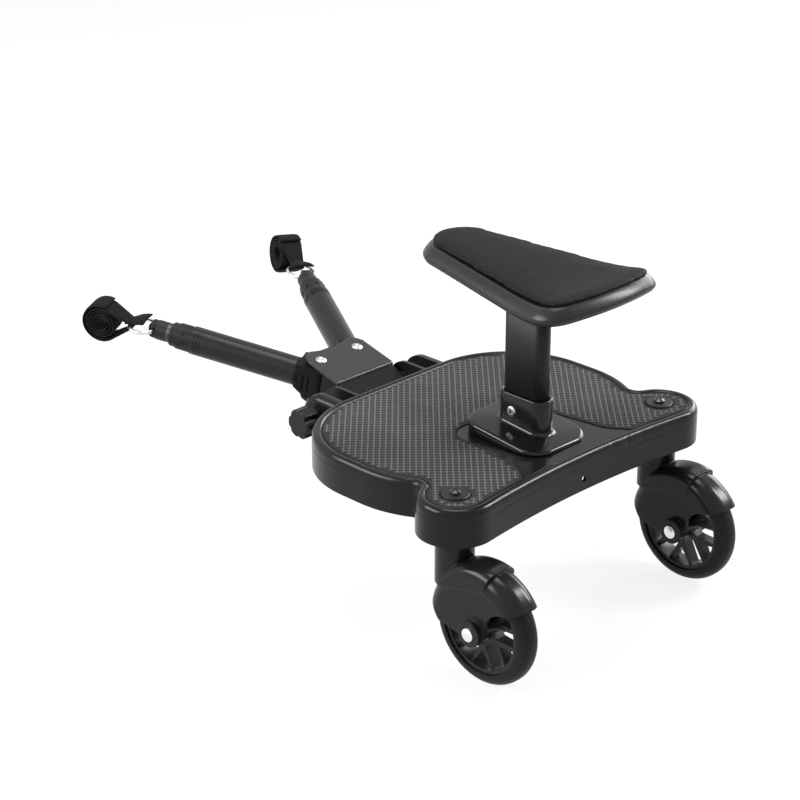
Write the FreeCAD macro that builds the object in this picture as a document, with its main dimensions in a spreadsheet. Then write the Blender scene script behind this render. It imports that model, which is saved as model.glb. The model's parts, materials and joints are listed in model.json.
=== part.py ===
import FreeCAD, Part
import Sketcher
import math
import os
from types import SimpleNamespace

# A ride-on board that straps behind a child's stroller: a moulded deck on two
# casters, a saddle on a post, and a hinged tongue with two telescopic arms.
# +X right, +Y forward to the stroller, +Z up, the floor at zero, millimetres.

V = FreeCAD.Vector
doc = FreeCAD.newDocument("BuggyBoard")
sheet = doc.addObject("Spreadsheet::Sheet", "Sizes")

SIZES = [
    # Gaps and overruns
    ("pin_gap", 0.1),
    ("slide_gap", 0.3),
    ("face_gap", 0.3),
    ("cut_overrun", 3),
    # Casters and wheels
    ("caster_spacing", 290),
    ("caster_trail", 42),
    ("wheel_radius", 57),
    ("tyre_width", 23),
    ("tyre_depth", 12),
    ("tyre_shoulder", 10),
    ("rim_ring_depth", 4),
    ("rim_width", 19),
    ("hub_radius", 12),
    ("hub_length", 26),
    ("spoke_width", 3.4),
    ("spoke_depth", 12),
    ("spoke_spread", 13),
    ("spoke_stem", 12),
    ("bush_radius", 8),
    ("bush_flange", 1),
    ("bush_depth", 9),
    ("axle_radius", 4),
    ("axle_head_radius", 6.5),
    ("axle_head_height", 3),
    ("axle_nut_height", 6),
    ("cheek_thickness", 4.7),
    ("boss_radius", 12.5),
    ("boss_height", 6.8),
    ("cheek_foot_radius", 13),
    ("fender_clearance", 2),
    ("fender_wall", 2.2),
    ("fender_shoulder", 15),
    ("wheel_room_round", 11),
    ("housing_rise", 2.4),
    ("housing_proud", 0.6),
    ("housing_shoulder", 11),
    ("housing_foot", 46),
    ("housing_front", 4),
    ("fender_tail_height", 33.5),
    ("scallop_back", 36.8),
    ("scallop_rise", 5),
    ("scallop_radius", 24),
    ("cheek_front", 16.2),
    ("cheek_front_drop", 14),
    ("cheek_heel", 4),
    ("column_radius", 18.5),
    ("column_foot", 88),
    ("kingpin_radius", 4),
    ("kingpin_head_radius", 5.4),
    ("kingpin_head_height", 3.5),
    ("kingpin_nut_radius", 7.5),
    ("kingpin_nut_height", 6.5),
    ("kingpin_nut_room", 1.5),
    ("kingpin_tail", 1.5),
    ("swivel_washer_radius", 16),
    ("swivel_washer_thickness", 1.6),
    # Deck
    ("deck_top", 174.3),
    ("deck_skirt", 35),
    ("deck_wall", 3.5),
    ("deck_top_wall", 5),
    ("deck_rim", 12),
    ("deck_half_width", 169),
    ("deck_front", 226.5),
    ("deck_corner", 100),
    ("flank_start", 100),
    ("flank_radius", 112),
    ("ear_radius", 37.5),
    ("ear_setback", 1),
    ("notch_radius", 9),
    ("rear_middle", 29),
    ("deck_rib", 2.5),
    ("deck_rib_depth", 29),
    ("deck_rib_pitch", 56),
    ("ear_boss_radius", 21),
    ("hang_hole_radius", 3.2),
    ("hang_hole_drop", 23),
    ("mat_inset", 11),
    ("mat_thickness", 2.4),
    ("mat_recess", 1.6),
    ("mat_gap", 0.3),
    ("mat_cut_front", 99),
    ("mat_cut_waist", 60),
    ("mat_cut_half", 54),
    ("mat_cut_flare_half", 63),
    ("mat_cut_tail_half", 112),
    ("mat_cut_corner", 22),
    ("ear_disc_radius", 13.5),
    ("ear_disc_height", 4),
    ("ear_disc_chamfer", 1),
    ("ear_disc_ring", 1),
    # Hinge across the front
    ("hinge_reach", 28.5),
    ("hinge_drop", 25),
    ("lug_nose", 23),
    ("lug_overlap", 6),
    ("rib_place", 47.5),
    ("rib_thickness", 4),
    ("lug_outer", 80),
    ("lug_thickness", 12),
    ("lug_round", 8),
    ("rod_radius", 5),
    ("rod_cap_radius", 10),
    ("rod_cap_height", 6),
    ("rod_cap_round", 2),
    ("knob_radius", 15.5),
    ("knob_length", 17),
    ("knob_neck_radius", 10),
    ("knob_neck_length", 8),
    ("knob_round", 2),
    ("knob_notch_radius", 4.5),
    ("knob_notch_bite", 3.3),
    # Seat
    ("post_place", 46),
    ("flange_half_width", 43),
    ("flange_half_length", 42.2),
    ("flange_corner", 18),
    ("flange_edge", 6),
    ("flange_edge_round", 3),
    ("crown_inset", 5),
    ("crown_top", 18),
    ("crown_top_half", 24),
    ("crown_top_corner", 12.5),
    ("sleeve_half", 20),
    ("sleeve_corner", 11),
    ("sleeve_top", 52),
    ("sleeve_rim", 1.2),
    ("sleeve_floor", 3),
    ("base_screw_x", 26),
    ("base_screw_y", 24),
    ("base_screw_radius", 2.5),
    ("base_screw_head_radius", 5),
    ("base_screw_head_height", 3),
    ("base_screw_length", 10),
    ("base_boss_radius", 7),
    ("clamp_screw_rise", 38),
    ("clamp_screw_radius", 3),
    ("clamp_head_radius", 5.5),
    ("clamp_head_height", 2.2),
    ("clamp_head_round", 1.4),
    ("post_half", 17.5),
    ("post_corner", 9.5),
    ("post_wall", 3),
    ("post_foot_room", 1),
    ("post_cap", 5),
    ("saddle_bolt_radius", 4),
    ("saddle_bolt_head_radius", 7),
    ("saddle_bolt_head_height", 5),
    ("saddle_bolt_length", 8),
    ("saddle_rim_height", 346.3),
    ("saddle_depth", 19.5),
    ("saddle_nose_radius", 44.5),
    ("saddle_nose_place", 121),
    ("saddle_rear_half", 75.5),
    ("saddle_rear", 56),
    ("saddle_rear_corner", 26),
    ("saddle_rear_bow", 6),
    ("saddle_kick", 4),
    ("saddle_kick_start", 2),
    ("saddle_pitch", 3),
    ("saddle_belly", 3.4),
    ("saddle_rib", 2.5),
    ("saddle_rib_pitch", 45),
    ("saddle_top_round", 8),
    ("saddle_under_round", 9),
    ("saddle_wall", 5),
    ("saddle_lip", 14),
    ("saddle_socket_wall", 4),
    ("pad_inset", 10),
    ("pad_recess", 3),
    ("pad_thickness", 5),
    ("pad_groove", 0.8),
    ("pad_round", 1.6),
    # Tongue
    ("tongue_pitch", 14),
    ("hub_barrel_radius", 13),
    ("block_half_width", 38),
    ("block_length", 40),
    ("block_top", 16),
    ("block_bottom", 29),
    ("shelf_top_thickness", 3),
    ("shelf_bottom_thickness", 3.6),
    ("shelf_reach", 16),
    ("shelf_corner", 12.5),
    ("tongue_web_half", 8),
    ("tongue_bush_radius", 8),
    ("tongue_bush_depth", 14),
    ("rivet_half_spacing", 25.5),
    ("rivet_place", 57),
    ("rivet_radius", 4),
    ("rivet_head_radius", 5.9),
    ("rivet_head_height", 1.8),
    ("rivet_dimple_radius", 1.6),
    ("rivet_dimple_depth", 0.9),
    ("cover_thickness", 2.5),
    ("cover_half_width", 39.5),
    ("cover_rear", 16),
    ("cover_reach", 17),
    ("cover_corner", 14),
    ("cover_bow", 5),
    ("cover_lip_drop", 7),
    ("cover_bend", 3.5),
    # Arms
    ("arm_splay", 26.4),
    ("arm_droop", 2.7),
    ("arm_drop", 3.6),
    ("ring_droop_left", 6),
    ("ring_yaw_left", 0),
    ("ring_droop_right", 0.5),
    ("ring_yaw_right", 6),
    ("knuckle_radius", 14),
    ("knuckle_reach", 21),
    ("knuckle_slope_start", 4),
    ("knuckle_flange_radius", 15.4),
    ("knuckle_flange_length", 4),
    ("knuckle_spigot_length", 16),
    ("knuckle_slot_width", 2.4),
    ("knuckle_slot_height", 17),
    ("knuckle_slot_pitch", 6),
    ("knuckle_slot_depth", 1.6),
    ("arm_tube_radius", 15),
    ("arm_tube_wall", 1.6),
    ("arm_tube_end", 140),
    ("arm_groove_depth", 0.6),
    ("arm_groove_width", 1.4),
    ("arm_groove_pitch", 3.4),
    ("arm_groove_back", 5),
    ("collar_radius", 14),
    ("collar_length", 24),
    ("collar_step_radius", 12.8),
    ("collar_step_length", 7),
    ("collar_round", 1.2),
    ("collar_notch_radius", 3.2),
    ("collar_notch_bite", 1),
    ("collar_notch_length", 9),
    ("inner_tube_radius", 10.5),
    ("inner_tube_wall", 1.5),
    ("inner_tube_reach", 4),
    ("slide_bush_length", 10),
    ("slide_bush_room", 2),
    ("eye_plug_length", 14),
    ("eye_neck_length", 12),
    ("eye_length", 9),
    ("eye_half_width", 5),
    ("eye_half_height", 8.5),
    ("eye_hole_radius", 3.8),
    ("eye_hole_setback", 6.5),
    ("eye_slot_width", 3),
    ("eye_slot_length", 6),
    ("eye_slot_depth", 1.2),
    ("ring_wire", 2),
    ("ring_radius", 14.7),
    ("strap_width", 25),
    ("strap_thickness", 2.6),
    ("strap_loop_radius", 21.5),
    ("strap_gap", 0.5),
    ("strap_neck", 2.6),
    ("strap_layer_gap", 0.5),
    ("strap_waist_half", 7.5),
    ("strap_waist_round", 9),
    ("strap_tail_start", 9),
    ("strap_tail_rise", 9),
]

for row, (alias, value) in enumerate(SIZES, start=1):
    sheet.set(f"A{row}", alias)
    sheet.set(f"B{row}", str(value))
    sheet.setAlias(f"B{row}", alias)
doc.recompute()


class Dim:
    """A size that carries its value and the sheet expression that gives it."""

    def __init__(self, value, text):
        self.value = value
        self.text = text

    def __float__(self):
        return float(self.value)

    def __add__(self, other):
        other = as_dim(other)
        return Dim(self.value + other.value, f"({self.text} + {other.text})")

    def __radd__(self, other):
        return as_dim(other) + self

    def __sub__(self, other):
        other = as_dim(other)
        return Dim(self.value - other.value, f"({self.text} - {other.text})")

    def __rsub__(self, other):
        return as_dim(other) - self

    def __mul__(self, other):
        other = as_dim(other)
        return Dim(self.value * other.value, f"({self.text} * {other.text})")

    def __rmul__(self, other):
        return as_dim(other) * self

    def __truediv__(self, other):
        other = as_dim(other)
        return Dim(self.value / other.value, f"({self.text} / {other.text})")

    def __neg__(self):
        return Dim(-self.value, f"(0 - {self.text})")


def as_dim(number):
    if isinstance(number, Dim):
        return number
    return Dim(float(number), f"{float(number):.9f}")


s = SimpleNamespace(**{alias: Dim(value, f"Sizes.{alias}") for alias, value in SIZES})


# Sketches and features


def new_body(label):
    body = doc.addObject("PartDesign::Body", label)
    body.Label = label
    return body


def new_sketch(body, role, offset=None):
    """A sketch on one of the body's own origin planes, moved along its normal by offset."""
    sketch = body.newObject("Sketcher::SketchObject", body.Name + "_sketch")
    plane = next(p for p in body.Origin.OriginFeatures if p.Role == role)
    sketch.AttachmentSupport = [(plane, "")]
    sketch.MapMode = "FlatFace"
    if offset is not None:
        sketch.setExpression("AttachmentOffset.Base.z", as_dim(offset).text)
    return sketch


def fix(sketch, kind, geometry, point, size):
    """Ties one coordinate of a point, or a radius, to its expression."""
    size = as_dim(size)
    if kind == "Radius":
        number = sketch.addConstraint(Sketcher.Constraint(kind, geometry, size.value))
    else:
        number = sketch.addConstraint(Sketcher.Constraint(kind, -1, 1, geometry, point, size.value))
    sketch.setExpression(f"Constraints[{number}]", size.text)


def draw_polygon(sketch, points):
    first = sketch.GeometryCount
    count = len(points)
    corners = [V(float(x), float(y), 0) for x, y in points]
    for i in range(count):
        sketch.addGeometry(Part.LineSegment(corners[i], corners[(i + 1) % count]))
    for i in range(count):
        following = first + (i + 1) % count
        sketch.addConstraint(Sketcher.Constraint("Coincident", first + i, 2, following, 1))
    for i, (x, y) in enumerate(points):
        fix(sketch, "DistanceX", first + i, 1, x)
        fix(sketch, "DistanceY", first + i, 1, y)


def draw_circle(sketch, x, y, radius):
    circle = Part.Circle(V(float(x), float(y), 0), V(0, 0, 1), float(radius))
    number = sketch.addGeometry(circle)
    fix(sketch, "DistanceX", number, 3, x)
    fix(sketch, "DistanceY", number, 3, y)
    fix(sketch, "Radius", number, 3, radius)


def arc(x, y, radius, start, end):
    """An arc of a chain, counterclockwise from start to end in degrees."""
    return SimpleNamespace(x=x, y=y, radius=radius, start=start, end=end)


def on_arc(piece, angle):
    turn = math.radians(angle)
    x = float(piece.x) + float(piece.radius) * math.cos(turn)
    y = float(piece.y) + float(piece.radius) * math.sin(turn)
    return V(x, y, 0)


def draw_chain(sketch, pieces):
    """Arcs, and points that straight lines run between, in order round a closed outline."""
    for piece in pieces:
        if isinstance(piece, SimpleNamespace):
            circle = Part.Circle(V(float(piece.x), float(piece.y), 0), V(0, 0, 1), float(piece.radius))
            start = math.radians(piece.start)
            number = sketch.addGeometry(Part.ArcOfCircle(circle, start, math.radians(piece.end)))
            fix(sketch, "DistanceX", number, 3, piece.x)
            fix(sketch, "DistanceY", number, 3, piece.y)
            fix(sketch, "Radius", number, 3, piece.radius)
        else:
            start, end = piece
            sketch.addGeometry(Part.LineSegment(start, end))


def round_box(half_x, half_y, corner):
    """A rectangle about the sketch's origin with round corners."""
    in_x = half_x - corner
    in_y = half_y - corner
    corners = [
        arc(in_x, in_y, corner, 0, 90),
        arc(-in_x, in_y, corner, 90, 180),
        arc(-in_x, -in_y, corner, 180, 270),
        arc(in_x, -in_y, corner, 270, 360),
    ]
    chain = []
    for i, piece in enumerate(corners):
        following = corners[(i + 1) % 4]
        chain.append(piece)
        chain.append((on_arc(piece, piece.end), on_arc(following, following.start)))
    return chain


def sketched(body, role, draw, outline, offset=None):
    sketch = new_sketch(body, role, offset)
    draw(sketch, outline)
    return sketch


def pad(body, sketch, length, both_ways=False):
    feature = body.newObject("PartDesign::Pad", body.Name + "_pad")
    feature.Profile = sketch
    feature.Midplane = both_ways
    feature.setExpression("Length", as_dim(length).text)
    return feature


def pocket(body, sketch, length, both_ways=False, reverse=False):
    doc.recompute()
    before = body.Shape.Volume
    feature = body.newObject("PartDesign::Pocket", body.Name + "_pocket")
    feature.Profile = sketch
    feature.Midplane = both_ways
    feature.Reversed = reverse
    feature.setExpression("Length", as_dim(length).text)
    doc.recompute()
    if body.Shape.Volume >= before:
        raise RuntimeError(f"a pocket of {body.Label} cut nothing")
    return feature


def revolve(body, sketch, axis):
    feature = body.newObject("PartDesign::Revolution", body.Name + "_turn")
    feature.Profile = sketch
    feature.ReferenceAxis = (sketch, [axis])
    feature.Angle = 360
    return feature


def turned(label, axis, profile):
    """A body turned about its own X, Y or Z axis. The profile is pairs of place and radius."""
    body = new_body(label)
    add_turned(body, axis, profile)
    return body


def add_turned(body, axis, profile):
    if axis == "X":
        sketch = sketched(body, "XY_Plane", draw_polygon, profile)
        return revolve(body, sketch, "H_Axis")
    role = "XY_Plane" if axis == "Y" else "XZ_Plane"
    sketch = sketched(body, role, draw_polygon, [(radius, place) for place, radius in profile])
    return revolve(body, sketch, "V_Axis")


def polar(body, feature, count, axis="Z_Axis"):
    pattern = body.newObject("PartDesign::PolarPattern", body.Name + "_pattern")
    pattern.Originals = [feature]
    line = next(p for p in body.Origin.OriginFeatures if p.Role == axis)
    pattern.Axis = (line, [""])
    pattern.Angle = 360
    pattern.Occurrences = count
    body.Tip = pattern
    return pattern


def dress(body, kind, size, wanted):
    """Rounds or bevels the edges of the body that wanted picks."""
    doc.recompute()
    base = body.Tip
    names = [f"Edge{i}" for i, edge in enumerate(base.Shape.Edges, start=1) if wanted(edge)]
    if not names:
        raise RuntimeError(f"no edge to dress on {body.Label}")
    feature = body.newObject("PartDesign::" + kind, body.Name + "_" + kind.lower())
    feature.Base = (base, names)
    feature.setExpression("Radius" if kind == "Fillet" else "Size", as_dim(size).text)
    return feature


# Edges closer than this to a plane lie in it.
IN_PLANE = 1e-4


def level(axis, place):
    """Picks edges that lie in the plane where the axis has this place."""
    index = "xyz".index(axis)

    def wanted(edge):
        points = [v.Point for v in edge.Vertexes] + [edge.CenterOfMass]
        return all(abs(point[index] - float(place)) < IN_PLANE for point in points)

    return wanted


def upright(edge):
    """Picks straight edges that run along Z."""
    if not isinstance(edge.Curve, Part.Line):
        return False
    return abs(abs(edge.Curve.Direction.z) - 1) < IN_PLANE


def move(piece, x=0, y=0, z=0):
    piece.Placement = FreeCAD.Placement(V(float(x), float(y), float(z)), FreeCAD.Rotation())
    return piece


def primitive(kind, sizes, place, turn=None):
    """A Part primitive whose sizes are tied to the sheet, at a place in the model."""
    piece = doc.addObject("Part::" + kind, kind.lower())
    for name, size in sizes.items():
        piece.setExpression(name, as_dim(size).text)
    rotation = turn or FreeCAD.Rotation()
    piece.Placement = FreeCAD.Placement(V(*(float(p) for p in place)), rotation)
    return piece


ALONG_X = FreeCAD.Rotation(V(0, 1, 0), 90)
ALONG_Y = FreeCAD.Rotation(V(1, 0, 0), -90)


def box(x, y, z, low):
    return primitive("Box", {"Length": x, "Width": y, "Height": z}, low)


def cylinder(radius, length, place, turn=None):
    return primitive("Cylinder", {"Radius": radius, "Height": length}, place, turn)


def fuse(pieces):
    joined = doc.addObject("Part::MultiFuse", "joined")
    joined.Shapes = pieces
    joined.Refine = True
    return joined


def cut(label, base, tool):
    result = doc.addObject("Part::Cut", label)
    result.Label = label
    result.Base = base
    result.Tool = tool
    return result


def common(label, base, tool):
    result = doc.addObject("Part::MultiCommon", label)
    result.Label = label
    result.Shapes = [base, tool]
    return result


def group(label, pieces):
    """Identical fasteners that share one node as separate solids."""
    result = doc.addObject("Part::Compound", label)
    result.Label = label
    result.Links = pieces
    return result


nodes = []


def keep(piece):
    nodes.append(piece)
    return piece


SIDES = (("left", -1), ("right", 1))

# The arms' place is worked out first, because the middle of the whole board in
# plan is the model's origin and the strap loops reach furthest forward.

hinge_y = s.deck_front + s.hinge_reach
hinge_z = s.deck_top - s.hinge_drop
collar_start = s.arm_tube_end + s.face_gap
collar_end = collar_start + s.collar_length
inner_end = collar_end + s.inner_tube_reach
eye_end = inner_end + s.eye_neck_length + s.eye_length
ring_pivot = eye_end - s.eye_hole_setback
ring_bar = ring_pivot + s.ring_radius * 2
strap_eye = s.ring_wire + s.strap_gap
loop_center = ring_bar + strap_eye + s.strap_thickness + s.strap_neck + s.strap_loop_radius
tongue_turn = FreeCAD.Rotation(V(1, 0, 0), s.tongue_pitch.value)


def arm_place(side, splay):
    """The arm's own frame on the tongue: its origin on the rivet's axis, +Y along the arm."""
    swing = FreeCAD.Rotation(V(0, 0, 1), -side * splay)
    at = V(side * s.rivet_half_spacing.value, s.rivet_place.value, 0)
    return FreeCAD.Placement(at, swing)


def tube_place():
    """The tube's frame on its arm: a little below the knuckle's middle, and drooping."""
    return FreeCAD.Placement(V(0, 0, -s.arm_drop.value), FreeCAD.Rotation(V(1, 0, 0), -s.arm_droop.value))


def ring_place(side):
    """The ring's frame on the tube: turned a little about the eye's hole, where it hangs loosely."""
    droop, yaw = (s.ring_droop_left, s.ring_yaw_left) if side < 0 else (s.ring_droop_right, s.ring_yaw_right)
    hang = FreeCAD.Rotation(V(1, 0, 0), -droop.value).multiply(FreeCAD.Rotation(V(0, 0, 1), yaw.value))
    return FreeCAD.Placement(V(0, 0, 0), hang, V(0, ring_pivot.value, 0))


def loop_front(side):
    """How far forward of the swivel axes the strap roll of this side reaches."""
    frame = FreeCAD.Placement(V(0, hinge_y.value, hinge_z.value), tongue_turn)
    frame = frame.multiply(arm_place(side, s.arm_splay.value)).multiply(tube_place()).multiply(ring_place(side))
    center = frame.multVec(V(0, loop_center.value, 0))
    across = frame.Rotation.multVec(V(1, 0, 0))
    half_band = abs(across.y) * s.strap_width.value / 2
    return center.y + half_band + s.strap_loop_radius.value * math.sqrt(1 - across.y**2)


rear_reach = s.caster_trail.value + s.wheel_radius.value
swivel_y = (rear_reach - max(loop_front(-1), loop_front(1))) / 2
tongue_place = FreeCAD.Placement(V(0, swivel_y + hinge_y.value, hinge_z.value), tongue_turn)


# Deck


def across_centers(a, b):
    return math.degrees(math.atan2(b[1] - a[1], b[0] - a[0]))


def deck_outline(inset):
    """The deck's plan, drawn in from its outer wall by inset, as a chain of tangent arcs."""
    inset = as_dim(inset)
    ear = (s.caster_spacing.value / 2, -s.ear_setback.value)
    ear_radius = s.ear_radius.value
    # The hollow rear edge is one arc that leaves both ears without a corner.
    rear_drop = s.rear_middle.value - s.ear_setback.value
    rear_radius = (ear[0] ** 2 + rear_drop**2 - ear_radius**2) / (2 * (ear_radius - rear_drop))
    rear = (0, -s.rear_middle.value - rear_radius)
    flank = (s.deck_half_width.value - s.flank_radius.value, s.flank_start.value)
    # The notch rounds the inner corner between ear and flank from outside.
    to_ear = ear_radius + s.notch_radius.value
    to_flank = s.flank_radius.value + s.notch_radius.value
    apart = math.dist(ear, flank)
    along = (apart**2 + to_ear**2 - to_flank**2) / (2 * apart)
    aside = math.sqrt(to_ear**2 - along**2)
    step = ((flank[0] - ear[0]) / apart, (flank[1] - ear[1]) / apart)
    notch = (ear[0] + along * step[0] + aside * step[1], ear[1] + along * step[1] - aside * step[0])
    corner_x = s.deck_half_width - s.deck_corner
    corner_y = s.deck_front - s.deck_corner
    right = [
        arc(ear[0], ear[1], s.ear_radius - inset, across_centers(ear, rear), across_centers(ear, notch)),
        arc(
            notch[0],
            notch[1],
            s.notch_radius + inset,
            across_centers(notch, flank) % 360,
            across_centers(notch, ear) % 360,
        ),
        arc(flank[0], flank[1], s.flank_radius - inset, across_centers(flank, notch), 0),
        arc(corner_x, corner_y, s.deck_corner - inset, 0, 90),
    ]
    left = [arc(-as_dim(p.x), p.y, p.radius, 180 - p.end, 180 - p.start) for p in reversed(right)]
    rise = across_centers(rear, ear)
    hollow = arc(rear[0], rear[1], as_dim(rear_radius) + inset, rise, 180 - rise)
    sides = [
        (on_arc(right[2], 0), on_arc(right[3], 0)),
        (on_arc(right[3], 90), on_arc(left[0], 90)),
        (on_arc(left[0], 180), on_arc(left[1], 180)),
    ]
    return [hollow] + right + left + sides


def lug_profile():
    """A hinge lug from the side: flush with the deck's top, round about the rod."""
    root = s.deck_front - s.lug_overlap
    top = s.hinge_reach + s.lug_overlap
    nose_top = s.deck_skirt - s.hinge_drop + s.lug_nose
    nose_low = s.deck_skirt - s.hinge_drop - s.lug_nose
    nose = arc(hinge_y, s.deck_skirt - s.hinge_drop, s.lug_nose, 270, 450)
    heel = V(root.value, 0, 0)
    crest = V(root.value, nose_top.value, 0)
    return [
        nose,
        (V(root.value + top.value, nose_top.value, 0), crest),
        (crest, heel),
        (heel, V(hinge_y.value, nose_low.value, 0)),
    ]


def make_deck_shell():
    """The moulded deck: a skirted shell with ribs and bosses under it and lugs at its front."""
    bottom = s.deck_top - s.deck_skirt
    block = new_body("deck_block")
    outline = sketched(block, "XY_Plane", draw_chain, deck_outline(0))
    pad(block, outline, s.deck_skirt)
    dress(block, "Fillet", s.deck_rim, level("z", s.deck_skirt))
    for facing in (-1, 1):
        wall = facing * s.rib_place - s.rib_thickness / 2
        pad(block, sketched(block, "YZ_Plane", draw_chain, lug_profile(), wall), s.rib_thickness)
    move(block, 0, swivel_y, bottom)
    lugs = [move(make_lug(facing), 0, swivel_y, bottom) for facing in (-1, 1)]

    cavity = new_body("deck_cavity")
    hollow = s.deck_skirt - s.deck_top_wall
    pad(cavity, sketched(cavity, "XY_Plane", draw_chain, deck_outline(s.deck_wall)), hollow)
    move(cavity, 0, swivel_y, bottom)

    cells = cut("deck_cells", cavity, fuse(deck_ribs() + deck_bosses(bottom)))
    shell = cut("deck_moulding", fuse([block] + lugs), cells)
    return keep(cut("deck_shell", shell, fuse(deck_cuts(bottom))))


def make_lug(facing):
    """An outer hinge lug, its outer edge rounded over from the crest round the nose."""
    lug = new_body("deck_lug")
    inner = s.lug_outer - s.lug_thickness if facing > 0 else -s.lug_outer
    pad(lug, sketched(lug, "YZ_Plane", draw_chain, lug_profile(), inner), s.lug_thickness)
    outer = level("x", facing * s.lug_outer)
    middle = (s.deck_skirt - s.hinge_drop).value

    def rounded_over(edge):
        bent = isinstance(edge.Curve, Part.Circle)
        return outer(edge) and (bent or edge.BoundBox.ZMin > middle)

    dress(lug, "Fillet", s.lug_round, rounded_over)
    return lug


def deck_ribs():
    """The stiffening ribs under the top wall, in both directions."""
    ribs = []
    low = s.deck_top - s.deck_top_wall - s.deck_rib_depth
    length = s.deck_front + s.rear_middle + s.ear_radius
    lanes = int(s.deck_half_width.value // s.deck_rib_pitch.value)
    for lane in range(-lanes, lanes):
        x = (lane + 0.5) * s.deck_rib_pitch - s.deck_rib / 2
        y = as_dim(swivel_y) - s.rear_middle - s.ear_setback
        ribs.append(box(s.deck_rib, length, s.deck_rib_depth, (x, y, low)))
    rows = int(s.deck_front.value // s.deck_rib_pitch.value)
    for row in range(rows + 1):
        y = as_dim(swivel_y) + row * s.deck_rib_pitch - s.deck_rib / 2
        ribs.append(box(s.deck_half_width * 2, s.deck_rib, s.deck_rib_depth, (-s.deck_half_width, y, low)))
    return ribs


def deck_bosses(bottom):
    """Bosses for the caster bolts and for the seat base's screws."""
    bosses = []
    for _, side in SIDES:
        x = side * s.caster_spacing / 2
        bosses.append(cylinder(s.ear_boss_radius, s.deck_skirt, (x, swivel_y, bottom)))
    foot = s.deck_top - s.deck_top_wall - s.deck_rib_depth
    for x, y in base_screw_places():
        bosses.append(cylinder(s.base_boss_radius, s.deck_rib_depth, (x, y, foot)))
    return bosses


def base_screw_places():
    return [
        (across * s.base_screw_x, swivel_y + s.post_place + along * s.base_screw_y)
        for across in (-1, 1)
        for along in (-1, 1)
    ]


def deck_cuts(bottom):
    """Every bore and recess in the moulded shell."""
    past = s.cut_overrun
    cuts = []
    for _, side in SIDES:
        x = side * s.caster_spacing / 2
        cuts.append(cylinder(s.kingpin_radius + s.pin_gap, s.deck_skirt + past * 2, (x, swivel_y, bottom - past)))
    for x, y in base_screw_places():
        cuts.append(cylinder(s.base_screw_radius + s.pin_gap, s.deck_skirt + past, (x, y, bottom)))
    rod = cylinder(s.rod_radius + s.pin_gap, (s.lug_outer + past) * 2, rod_start(past), ALONG_X)
    hang_z = s.deck_top - s.hang_hole_drop
    hang_y = swivel_y - s.rear_middle - past
    hang = cylinder(s.hang_hole_radius, s.deck_wall + past * 2, (0, hang_y, hang_z), ALONG_Y)
    recess = mat_plan("mat_recess", s.mat_inset - s.mat_gap, s.mat_recess + past, s.mat_gap)
    move(recess, 0, swivel_y, s.deck_top - s.mat_recess)
    return cuts + [rod, hang, recess]


def rod_start(past):
    return (-s.lug_outer - past, swivel_y + hinge_y, hinge_z)


def mat_plan(label, inset, thickness, grow):
    """The mat's plan as a slab, with the smooth bay round the seat base left out."""
    slab = new_body(label + "_slab")
    pad(slab, sketched(slab, "XY_Plane", draw_chain, deck_outline(inset)), thickness)
    bay = new_body(label + "_bay")
    tail = -s.rear_middle - s.ear_radius
    half = s.mat_cut_half - grow
    tail_half = s.mat_cut_tail_half - grow
    front = s.mat_cut_front - grow
    flare = s.mat_cut_flare_half - grow
    outline = [(-tail_half, tail), (tail_half, tail), (flare, 0), (half, s.mat_cut_waist), (half, front)]
    outline += [(-half, front), (-half, s.mat_cut_waist), (-flare, 0)]
    pad(bay, sketched(bay, "XY_Plane", draw_polygon, outline), thickness)

    def round_corner(edge):
        y = edge.CenterOfMass.y
        return upright(edge) and (abs(y - float(front)) < IN_PLANE or abs(y) < IN_PLANE)

    dress(bay, "Fillet", s.mat_cut_corner, round_corner)
    return cut(label, slab, bay)


def make_grip_mat():
    mat = mat_plan("mat_sheet", s.mat_inset, s.mat_thickness, as_dim(0))
    move(mat, 0, swivel_y, s.deck_top - s.mat_recess)
    holes = []
    for _, side in SIDES:
        x = side * s.caster_spacing / 2
        low = s.deck_top - s.mat_recess - s.cut_overrun
        hole = s.ear_disc_radius + s.ear_disc_ring
        holes.append(cylinder(hole, s.mat_thickness + s.cut_overrun * 2, (x, swivel_y, low)))
    keep(cut("grip_mat", mat, fuse(holes)))


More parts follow.
